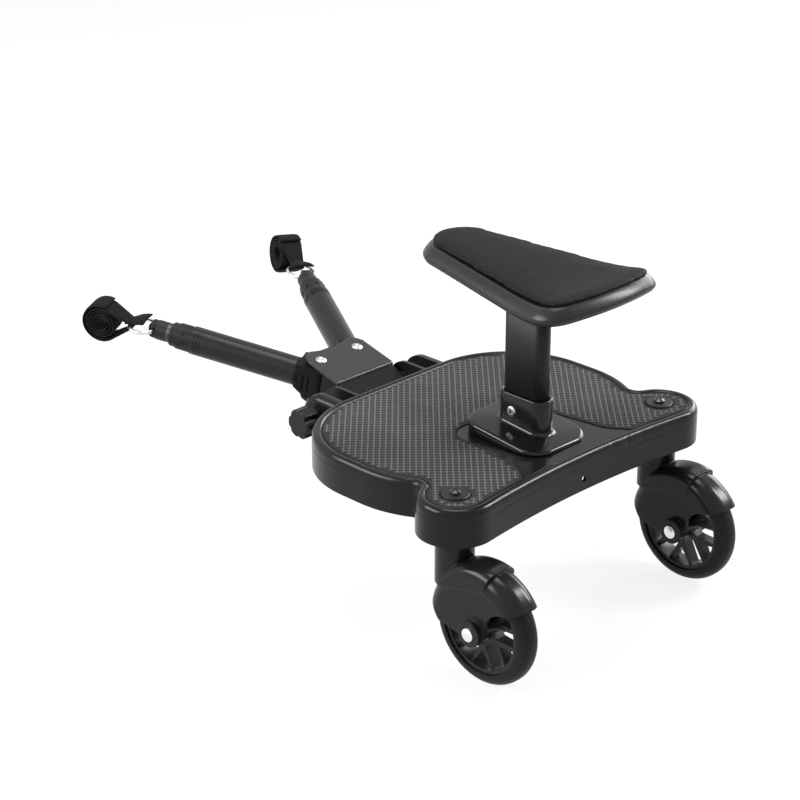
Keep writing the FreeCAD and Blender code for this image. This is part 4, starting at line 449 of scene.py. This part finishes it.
black_steel = metal("black_steel", 0.03, 0.35, 900, 0.6)
swivel = joints["caster_swivel_right"]["pos_m"]
bolt_steel = socket_head("caster_bolt_steel", 0.06, 0.22, swivel[:2] + [0], "XY", 0.003)
paint(disc_plastic, "ear_discs")
paint(bolt_steel, "kingpins")
paint(black_steel, "kingpin_nuts")
paint(washer_plastic, "swivel_washers")


# The casters: a moulded fork on each swivel, with flat cheeks beside the wheel and a
# fender over it. The same satin black plastic as the deck, a little lighter.

fork_plastic = moulded("fork_plastic", 0.011, 0.22, edge=0.0015)
paint(fork_plastic, "caster_fork_left", "caster_fork_right")


# The wheels: polyurethane tyres cast on spoked nylon rims, with flanged bushes in the hubs.
# The tyres are dull and lightly scuffed, the rims a little glossier.

rim_plastic = moulded("rim_plastic", 0.009, 0.3, specular=0.25, edge=0.0009)
paint(rim_plastic, "wheel_rim_left", "wheel_rim_right")
paint(washer_plastic, "hub_bushes_left", "hub_bushes_right")


def tyre_rubber(point):
    bloom = point.noise(24, 4)
    scuff = point.stretch(3, 1, 1).noise(190, 4, 0.65)
    return {
        "Base Color": bloom.between(grey(0.006), grey(0.011)),
        "Roughness": 0.42 + (bloom - 0.5) * 0.2 + (scuff - 0.5) * 0.1,
        "Normal": scuff.bump(0.00006, 0.35),
    }


tyre = finish("tyre_polyurethane", tyre_rubber, Specular_IOR_Level=0.12)
paint(tyre, "wheel_tyre_left", "wheel_tyre_right")


# The axles: zinc-plated bolts with dome heads on the left and nuts on the right. The plating is
# cloudy, with fine turning lines in its gloss.

zinc = metal("zinc_plate", 0.9, 0.3, 1300)
paint(zinc, "axle_bolt_left", "axle_bolt_right", "axle_nut_left", "axle_nut_right")


# The seat base: a gloss black moulded foot, higher at the front, with an oval sleeve that clamps
# the post by one plated screw in its left wall. Screws from below hold it on the deck.

FOOT_HALF = (0.0412, 0.0505, 0.024)
FOOT_EDGE = 0.0092
FOOT_LEAN = 0.1
FOOT_ROUND = 0.0032
SLEEVE_HALF = (0.0129, 0.029, 0.0128)
SLEEVE_FOOT = 0.0045
SLEEVE_TOP = 0.0422
SLEEVE_FLOOR = 0.003
POST_HALF = (0.0099, 0.0252, 0.0098)
SLEEVE_RIM = 0.0011
SLEEVE_PLAY = 0.0003
CLAMP_PLACE = (0.0068, 0.0252)
CLAMP_HEAD = 0.0052
CLAMP_SHAPE = ((0.5, -0.002), (1, -0.0003), (1, 0.001), (0.9, 0.0017), (0.7, 0.0021), (0.4, 0.0023))
OVAL_POINTS = 48
BEND_STEPS = 5


def oval(half, grow=0.0):
    """A rectangle round the origin with round corners, given by its two halves and the corner's radius."""
    wide, long, corner = (size + grow for size in half)
    ring = []
    for i in range(OVAL_POINTS):
        turn = 2 * math.pi * (i + 0.5) / OVAL_POINTS
        out = Vector((math.cos(turn), math.sin(turn)))
        side = Vector((math.copysign(wide - corner, out.x), math.copysign(long - corner, out.y)))
        ring.append(side + corner * out)
    return ring


def stacked(name, middle, rings, material):
    """A closed piece from rings of points, each with its height and how far that rises toward the front."""
    mesh = bmesh.new()
    made = []
    for ring, height, lean in rings:
        made.append([mesh.verts.new(middle + Vector((at.x, at.y, height + lean * at.y))) for at in ring])
    for low, high in zip(made, made[1:]):
        for i, corner in enumerate(low):
            j = (i + 1) % len(low)
            mesh.faces.new((corner, low[j], high[j], high[i]))
    mesh.faces.new(reversed(made[0]))
    mesh.faces.new(made[-1])
    bmesh.ops.recalc_face_normals(mesh, faces=mesh.faces)
    piece = piece_of(name, mesh, material)
    for face in piece.data.polygons:
        face.use_smooth = len(face.vertices) == 4
    return piece


base_plastic = moulded("base_plastic", 0.006, 0.16, grain=900, depth=0.00003, specular=0.3, edge=0.0004)
low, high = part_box("seat_base")
middle = Vector(((low.x + high.x) / 2, (low.y + high.y) / 2, low.z))
rings = [(oval(FOOT_HALF), 0.0, 0.0), (oval(FOOT_HALF), FOOT_EDGE - FOOT_ROUND, FOOT_LEAN)]
for i in range(1, BEND_STEPS + 1):
    bend = math.pi / 2 * i / BEND_STEPS
    inset = FOOT_ROUND * (1 - math.cos(bend))
    rings.append((oval(FOOT_HALF, -inset), FOOT_EDGE - FOOT_ROUND * (1 - math.sin(bend)), FOOT_LEAN))
for i in range(BEND_STEPS + 1):
    bend = math.pi / 2 * i / BEND_STEPS
    spread = SLEEVE_FOOT * (1 - math.sin(bend))
    rings.append((oval(SLEEVE_HALF, spread), FOOT_EDGE + SLEEVE_FOOT * (1 - math.cos(bend)), FOOT_LEAN))
for inset, drop in ((0, 1), (0.3, 0.3), (1, 0)):
    rings.append((oval(SLEEVE_HALF, -inset * SLEEVE_RIM), SLEEVE_TOP - drop * SLEEVE_RIM, 0.0))
rings += [(oval(POST_HALF, SLEEVE_PLAY), height, 0.0) for height in (SLEEVE_TOP, SLEEVE_FLOOR)]
foot = stacked("seat_foot", middle, rings, base_plastic)
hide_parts("seat_base")
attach(foot, "deck")

screw_mesh = bmesh.new()
screw_mesh.from_mesh(nodes["seat_base_screws"].data)
bmesh.ops.remove_doubles(screw_mesh, verts=screw_mesh.verts, dist=MERGE)
for vertex in screw_mesh.verts:
    vertex.co.z = min(vertex.co.z, middle.z + SLEEVE_FLOOR)
screws = piece_of("seat_foot_screws", screw_mesh, zinc)
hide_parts("seat_base_screws")
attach(screws, "deck")

clamp = middle + Vector((-SLEEVE_HALF[0], *CLAMP_PLACE))
clamp_steel = socket_head("clamp_screw_steel", 0.62, 0.28, (0, clamp.y, clamp.z), "YZ", 0.0026)
rings = []
for share, height in CLAMP_SHAPE:
    rings.append((oval([CLAMP_HEAD * share] * 3), height, 0.0))
head = stacked("clamp_screw_head", Vector(), rings, clamp_steel)
head.data.transform(Matrix.Translation(clamp) @ Matrix.Rotation(-math.pi / 2, 4, "Y"))
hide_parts("seat_clamp_screw")
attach(head, "deck")


# The seat post: an oval steel tube, powder coated in satin black. It slides in the sleeve, and
# its coat has a fine orange-peel skin.


def powder_coat(name, level, gloss, peel=1700, edge=0.0005):
    def dress(point):
        cloud = point.noise(16, 3)
        skin = point.noise(peel, 2, 0.4)
        return {
            "Base Color": cloud.between(grey(level * 0.85), grey(level * 1.15)),
            "Roughness": gloss + (cloud - 0.5) * 0.12,
            "Normal": skin.bump(0.00008, 0.4, edge),
        }

    return finish(name, dress, Specular_IOR_Level=0.2)


post_coat = powder_coat("post_coat", 0.008, 0.45)
low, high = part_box("seat_post")
ends = [(oval(POST_HALF), z - middle.z, 0.0) for z in (low.z, high.z)]
tube = stacked("seat_tube", middle, ends, post_coat)
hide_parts("seat_post")
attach(tube, "seat")


# The saddle: a moulded shell whose rim slopes out from the pad to a rounded edge and turns under,
# with a kick up at the back. One bolt from below holds it on the post's cap.

RIM_SHAPE = (
    (0.0114, -0.0064), (0.0096, -0.0028), (0.0082, -0.003), (0.0058, -0.0044), (0.0034, -0.0066),
    (0.0014, -0.009), (-0.0002, -0.0114), (-0.0009, -0.0131), (-0.0006, -0.0148), (0.0012, -0.0177),
    (0.0038, -0.0195), (0.0085, -0.0202),
)
RIM_STEP = 0.004
RIM_READ = 0.0058
RIM_EVENING = 6
KICK_RUN = 0.075
KICK_RISE = 0.007


def kick(y, rear):
    """How far the saddle rises toward its back edge."""
    return KICK_RISE * max(0, 1 - (y - rear) / KICK_RUN) ** 2


saddle_plastic = moulded("saddle_plastic", 0.02, 0.28)
solid = bmesh.new()
solid.from_mesh(nodes["saddle_shell"].data)
cad_shell = bvhtree.BVHTree.FromBMesh(solid)
points = [vertex.co.xy.copy() for vertex in solid.verts]
solid.free()
outline = evenly([points[i] for i in geometry.convex_hull_2d(points)], RIM_STEP)
rear = min(at.y for at in outline)
sides = []
tops = []
for i, at in enumerate(outline):
    sides.append(inward(outline, i, 2))
    above = Vector((*(at + sides[-1] * RIM_READ), 1))
    tops.append(cad_shell.ray_cast(above, Vector((0, 0, -1)))[0].z)
shell_mesh = bmesh.new()
rings = []
for i, (at, side) in enumerate(zip(outline, sides)):
    near = [tops[(i + k) % len(tops)] for k in range(-RIM_EVENING, RIM_EVENING + 1)]
    height = sum(near) / len(near) + kick(at.y, rear)
    ring = [(*(at + side * inset), height + drop) for inset, drop in RIM_SHAPE]
    rings.append([shell_mesh.verts.new(spot) for spot in ring])
for low, high in zip(rings, rings[1:] + rings[:1]):
    for k in range(len(low) - 1):
        shell_mesh.faces.new((low[k], high[k], high[k + 1], low[k + 1]))
shell_mesh.faces.new([ring[0] for ring in rings])
shell_mesh.faces.new([ring[-1] for ring in rings])
bmesh.ops.recalc_face_normals(shell_mesh, faces=shell_mesh.faces)
saddle_rim = piece_of("saddle_rim", shell_mesh, saddle_plastic)
saddle_rim.data.shade_smooth()
saddle_rim.data.set_sharp_from_angle(angle=SOFT_ANGLE)
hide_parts("saddle_shell")
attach(saddle_rim, "seat")
paint(zinc, "saddle_bolt")


# The saddle's pad: foam under smooth charcoal leatherette that stands a little proud of the rim.
# A cloth run swells its top. Then it is smoothed, spread to the rim and lifted with it at the back.

PAD_VOXEL = 0.0025
PAD_CAP = 0.0022
PAD_SMOOTHING = 6
PAD_SPREAD = (1.026, 1.047)


def leatherette(point):
    cloud = point.noise(9, 3)
    pores = point.add("ShaderNodeTexVoronoi", {}, {"Vector": point, "Scale": 900.0})
    return {
        "Base Color": cloud.between(grey(0.011), grey(0.015)),
        "Roughness": 0.5 + (cloud - 0.5) * 0.12,
        "Normal": pores.bump(0.00005, 0.35),
    }


def swell(piece, voxel, cap):
    """Remeshes a piece evenly and blows its upward side out as cloth, each point no further than cap."""
    remesh = piece.modifiers.new("remesh", "REMESH")
    remesh.mode = "VOXEL"
    remesh.voxel_size = voxel
    bpy.context.view_layer.update()
    ready = piece.evaluated_get(bpy.context.evaluated_depsgraph_get())
    piece.data = bpy.data.meshes.new_from_object(ready)
    piece.modifiers.clear()
    rest = [v.co.copy() for v in piece.data.vertices]
    held = piece.vertex_groups.new(name="held")
    held.add([v.index for v in piece.data.vertices if v.normal.z < 0.5], 1.0, "REPLACE")
    cloth = piece.modifiers.new("cloth", "CLOTH")
    cloth.settings.vertex_group_mass = "held"
    cloth.settings.use_pressure = True
    cloth.settings.uniform_pressure_force = 4
    cloth.settings.effector_weights.gravity = 0
    for number in range(1, 21):
        scene.frame_set(number)
    ready = piece.evaluated_get(bpy.context.evaluated_depsgraph_get())
    blown = [v.co.copy() for v in ready.data.vertices]
    scene.frame_set(1)
    piece.modifiers.clear()
    piece.vertex_groups.clear()
    for vertex, start, end in zip(piece.data.vertices, rest, blown):
        vertex.co.z = start.z + min(max(end.z - start.z, 0), cap)
    for face in piece.data.polygons:
        face.use_smooth = True
    round_off = piece.modifiers.new("round_off", "SUBSURF")
    round_off.levels = round_off.render_levels = 1


pad_mesh = bmesh.new()
pad_mesh.from_mesh(nodes["saddle_pad"].data)
bmesh.ops.remove_doubles(pad_mesh, verts=pad_mesh.verts, dist=MERGE)
cushion = piece_of("saddle_cushion", pad_mesh)
swell(cushion, PAD_VOXEL, PAD_CAP)
pad_mesh = bmesh.new()
pad_mesh.from_mesh(cushion.data)
every_axis = {"use_axis_x": True, "use_axis_y": True, "use_axis_z": True}
for _ in range(PAD_SMOOTHING):
    bmesh.ops.smooth_vert(pad_mesh, verts=pad_mesh.verts, factor=0.5, **every_axis)
pad_mesh.to_mesh(cushion.data)
pad_mesh.free()
low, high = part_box("saddle_pad")
pad_middle = (low.y + high.y) / 2
for vertex in cushion.data.vertices:
    vertex.co.x *= PAD_SPREAD[0]
    vertex.co.y = pad_middle + (vertex.co.y - pad_middle) * PAD_SPREAD[1]
    vertex.co.z += kick(vertex.co.y, rear)
cushion.data.materials.append(finish("leatherette", leatherette, Specular_IOR_Level=0.03))
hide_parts("saddle_pad")
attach(cushion, "seat")


# The hinge at the front: a steel rod through the deck's lugs, capped at the right end and
# clamped by a notched knob at the left.

knob_plastic = moulded("knob_plastic", 0.008, 0.33, edge=0.0008)
paint(black_steel, "hinge_rod", "rod_cap")
paint(knob_plastic, "rod_knob")


# The tongue: a moulded block that turns on the rod, under a bent steel cover that two
# rivets hold together with the arms.

# The tongue's plastic is darker and less glossy than the deck's: painted shade for the dark pockets round the
# hinge under the cover. The arms' knuckles share it.
tongue_plastic = moulded("tongue_plastic", 0.007, 0.4, specular=0.08)
cover_coat = powder_coat("cover_coat", 0.028, 0.25, edge=0.0022)
paint(tongue_plastic, "tongue_block")
paint(washer_plastic, "tongue_bushes")
paint(cover_coat, "tongue_cover")
low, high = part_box("arm_rivets")
rivet = ((high.x - low.x) / 2 - (high.y - low.y) / 2, (low.y + high.y) / 2, 0)
paint(socket_head("rivet_steel", 0.55, 0.25, rivet, "XY", 0.0019), "arm_rivets")


# The arms: a moulded knuckle on each rivet, a coated outer tube, a twist collar, and an
# inner tube that slides on a bush and ends in a flattened eye.

tube_coat = powder_coat("tube_coat", 0.01, 0.3)
inner_metal = metal("inner_metal", 0.08, 0.34, 1000)
collar_plastic = moulded("collar_plastic", 0.009, 0.45)
eye_plastic = moulded("eye_plastic", 0.012, 0.4)
ring_steel = metal("ring_steel", 0.7, 0.2, 1500)
for side in ("left", "right"):
    paint(tongue_plastic, f"arm_knuckle_{side}")
    paint(tube_coat, f"arm_tube_{side}")
    paint(collar_plastic, f"lock_collar_{side}")
    paint(inner_metal, f"inner_tube_{side}")
    paint(washer_plastic, f"slide_bush_{side}")
    paint(eye_plastic, f"end_eye_{side}")
    paint(ring_steel, f"d_ring_{side}")


# The straps: hook-and-loop webbing. Each is wound into a roll, comes out of it over the far side
# of its ring, where it is pinched, goes round the wire and back outside the roll, and its other
# end flares out over the ring as a short tail.

STRAP_HALF = 0.0125
STRAP_THICK = 0.0023
STRAP_PITCH = 0.0031
ROLL_OUTER = 0.0202
RING_REACH = 0.0294
WRAP = 0.0038
PINCH_HALF = 0.0075
PINCH_ROUND = 0.009
STRAP_COLUMNS = 8
STRAP_WINDS = 2.7
STRAP_END = 0.15
STRAP_TAIL = (
    (RING_REACH + 0.003, 0.0046), (RING_REACH, 0.0054), (0.025, 0.0068), (0.02, 0.0084),
    (0.0145, 0.0099), (0.0092, 0.0107),
)
TAIL_ARCH = 0.0016


def webbing(point):
    place = point.add("ShaderNodeUVMap", {"uv_map": "weave"}, {})
    waves = {"Vector": place, "Scale": 260.0, "Distortion": 1.2}
    ribs = place.add("ShaderNodeTexWave", {"bands_direction": "Y"}, waves)
    fuzz = point.noise(1800, 4, 0.7)
    worn = point.noise(70, 3)
    return {
        "Base Color": (fuzz * 0.6 + worn * 0.4).between(grey(0.004), grey(0.014)),
        "Roughness": 0.88 + (fuzz - 0.5) * 0.2,
        "Normal": (ribs * 0.5 + fuzz).bump(0.0003, 0.7),
    }


def half_width(y):
    """Half the band's width at a distance from the eye: pinched on both sides where the ring is."""
    gone = abs(y - RING_REACH)
    if gone >= PINCH_ROUND:
        return STRAP_HALF
    return min(STRAP_HALF, PINCH_HALF + PINCH_ROUND - math.sqrt(PINCH_ROUND**2 - gone**2))


def strap_line(roll):
    """The middle of the band from the core of the roll to the end on its outside, as (y, z)."""
    inner = ROLL_OUTER - STRAP_PITCH
    lean_in = math.asin((inner - WRAP) / (roll - RING_REACH))
    lean_out = math.asin((ROLL_OUTER - WRAP) / (roll - RING_REACH))
    leave = math.pi / 2 + lean_in
    back = 3 * math.pi / 2 - lean_out
    line = []
    steps = int(STRAP_WINDS * 48)
    for i in range(steps + 1):
        turn = leave - 2 * math.pi * STRAP_WINDS * (1 - i / steps)
        radius = inner - STRAP_PITCH * STRAP_WINDS * (1 - i / steps)
        line.append((roll + radius * math.cos(turn), radius * math.sin(turn)))
    for i in range(13):
        turn = leave + (back - leave) * i / 12
        line.append((RING_REACH + WRAP * math.cos(turn), WRAP * math.sin(turn)))
    end = 2 * math.pi + leave - STRAP_END
    for i in range(61):
        turn = back + (end - back) * i / 60
        line.append((roll + ROLL_OUTER * math.cos(turn), ROLL_OUTER * math.sin(turn)))
    return line


def add_band(mesh, weave, place, line, arch=0.0):
    """A closed band of webbing along a line, its edges bent down by arch."""
    rings = []
    along = 0.0
    for i, (y, z) in enumerate(line):
        before, after = line[max(i - 1, 0)], line[min(i + 1, len(line) - 1)]
        run = Vector((0, after[0] - before[0], after[1] - before[1])).normalized()
        up = Vector((0, -run.z, run.y)) * (STRAP_THICK / 2)
        along += math.dist(before, (y, z))
        half = half_width(y)
        ring = []
        for face in (1, -1):
            for k in range(STRAP_COLUMNS + 1):
                f = face * (2 * k / STRAP_COLUMNS - 1)
                thin = 0.55 if abs(f) > 0.99 else 1.0
                at = Vector((f * half, y, z)) - up * face * thin + Vector((0, 0, -arch * f * f))
                ring.append((mesh.verts.new(place @ at), f, along))
        rings.append(ring)
    count = len(rings[0])
    for low, high in zip(rings, rings[1:]):
        for k in range(count):
            corners = [low[k], low[(k + 1) % count], high[(k + 1) % count], high[k]]
            face = mesh.faces.new([corner[0] for corner in corners])
            for loop, corner in zip(face.loops, corners):
                loop[weave].uv = (corner[1] * STRAP_HALF, corner[2])
    mesh.faces.new([corner[0] for corner in reversed(rings[0])])
    mesh.faces.new([corner[0] for corner in rings[-1]])


webbing_black = finish("webbing_black", webbing, Specular_IOR_Level=0.08)
for side, sign in (("left", -1), ("right", 1)):
    eye = Vector(joints[f"ring_swing_{side}"]["pos_m"])
    core = Vector(mounts[f"strap_core_{side}"]["pos_m"])
    x_axis = Vector(mounts[f"strap_core_{side}"]["axis"]) * sign
    y_axis = (core - eye).normalized()
    z_axis = x_axis.cross(y_axis)
    place = Matrix.Translation(eye) @ Matrix((x_axis, y_axis, z_axis)).transposed().to_4x4()
    roll = (core - eye).length + STRAP_PITCH / 4
    band = bmesh.new()
    weave = band.loops.layers.uv.new("weave")
    add_band(band, weave, place, strap_line(roll))
    add_band(band, weave, place, STRAP_TAIL, TAIL_ARCH)
    bmesh.ops.recalc_face_normals(band, faces=band.faces)
    strap = piece_of(f"strap_web_{side}", band, webbing_black)
    strap.data.shade_smooth()
    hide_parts(f"strap_{side}")
    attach(strap, f"ring_{side}")


# The photograph's studio: a pale floor without an edge, soft light from overhead and from
# both sides, and a long lens behind and to the left of the board.

EYE = (-1.46658, joints["caster_swivel_left"]["pos_m"][1] - 1.25769, 1.07012)
TURN = -44.845
TILT = 23.735
LENS = 101.08
SKY_FILL = 0.24
FLOOR_GLOW = 0.85
FLOOR_HALF = 12


def seen(tree):
    """1 for what the camera sees, also in metal or through glass, 0 for light that falls on the board."""
    path = tree.nodes.new("ShaderNodeLightPath")
    shown = Wire(tree, path.outputs["Is Camera Ray"])
    for kind in ("Glossy", "Transmission"):
        shown = shown.math("MAXIMUM", shown, Wire(tree, path.outputs[f"Is {kind} Ray"]))
    return shown


world = bpy.data.worlds.new("studio")
world.use_nodes = True
scene.world = world
sky = world.node_tree.nodes["Background"]
sky.inputs["Color"].default_value = (1, 1, 1, 1)
ambient = seen(world.node_tree) * (1 - SKY_FILL) + SKY_FILL
world.node_tree.links.new(ambient.socket, sky.inputs["Strength"])

floor_mesh = bmesh.new()
bmesh.ops.create_grid(floor_mesh, x_segments=1, y_segments=1, size=FLOOR_HALF)
floor = piece_of("floor", floor_mesh)
floor_paint = bpy.data.materials.new("floor_paint")
floor_paint.use_nodes = True
tree = floor_paint.node_tree
shader = tree.nodes["Principled BSDF"]
shader.inputs["Base Color"].default_value = (1, 1, 1, 1)
shader.inputs["Roughness"].default_value = 0.9
shader.inputs["Specular IOR Level"].default_value = 0.0
glow = Wire(tree).add("ShaderNodeEmission", {}, {"Strength": 1.0})
lit = Wire(tree, shader.outputs[0])
shown = Wire(tree).add("ShaderNodeMixShader", {}, {0: seen(tree) * FLOOR_GLOW, 1: lit, 2: glow})
tree.links.new(shown.socket, tree.nodes["Material Output"].inputs["Surface"])
floor.data.materials.append(floor_paint)


def softbox(name, place, aim, wide, tall, power):
    lamp = bpy.data.lights.new(name, "AREA")
    lamp.shape = "RECTANGLE"
    lamp.size = wide
    lamp.size_y = tall
    lamp.energy = power
    box = bpy.data.objects.new(name, lamp)
    box.location = place
    box.rotation_euler = (Vector(aim) - Vector(place)).to_track_quat("-Z", "Y").to_euler()
    scene.collection.objects.link(box)


softbox("overhead", (0.1, 0.1, 2.2), (0, 0, 0.15), 1.0, 1.0, 24)
softbox("right_rear", (1.7, -1.1, 1.5), (0, -0.1, 0.2), 0.45, 0.9, 44)
softbox("left", (-2.0, 1.1, 1.5), (0, 0, 0.2), 2.0, 1.0, 95)
softbox("right", (2.2, 0.0, 0.95), (0, 0, 0.2), 1.5, 1.0, 40)

camera = bpy.data.objects.new("camera", bpy.data.cameras.new("camera"))
camera.data.lens = LENS
camera.location = EYE
camera.rotation_euler = (math.radians(90 - TILT), 0, math.radians(TURN))
scene.collection.objects.link(camera)
scene.camera = camera
scene.view_settings.view_transform = "Standard"
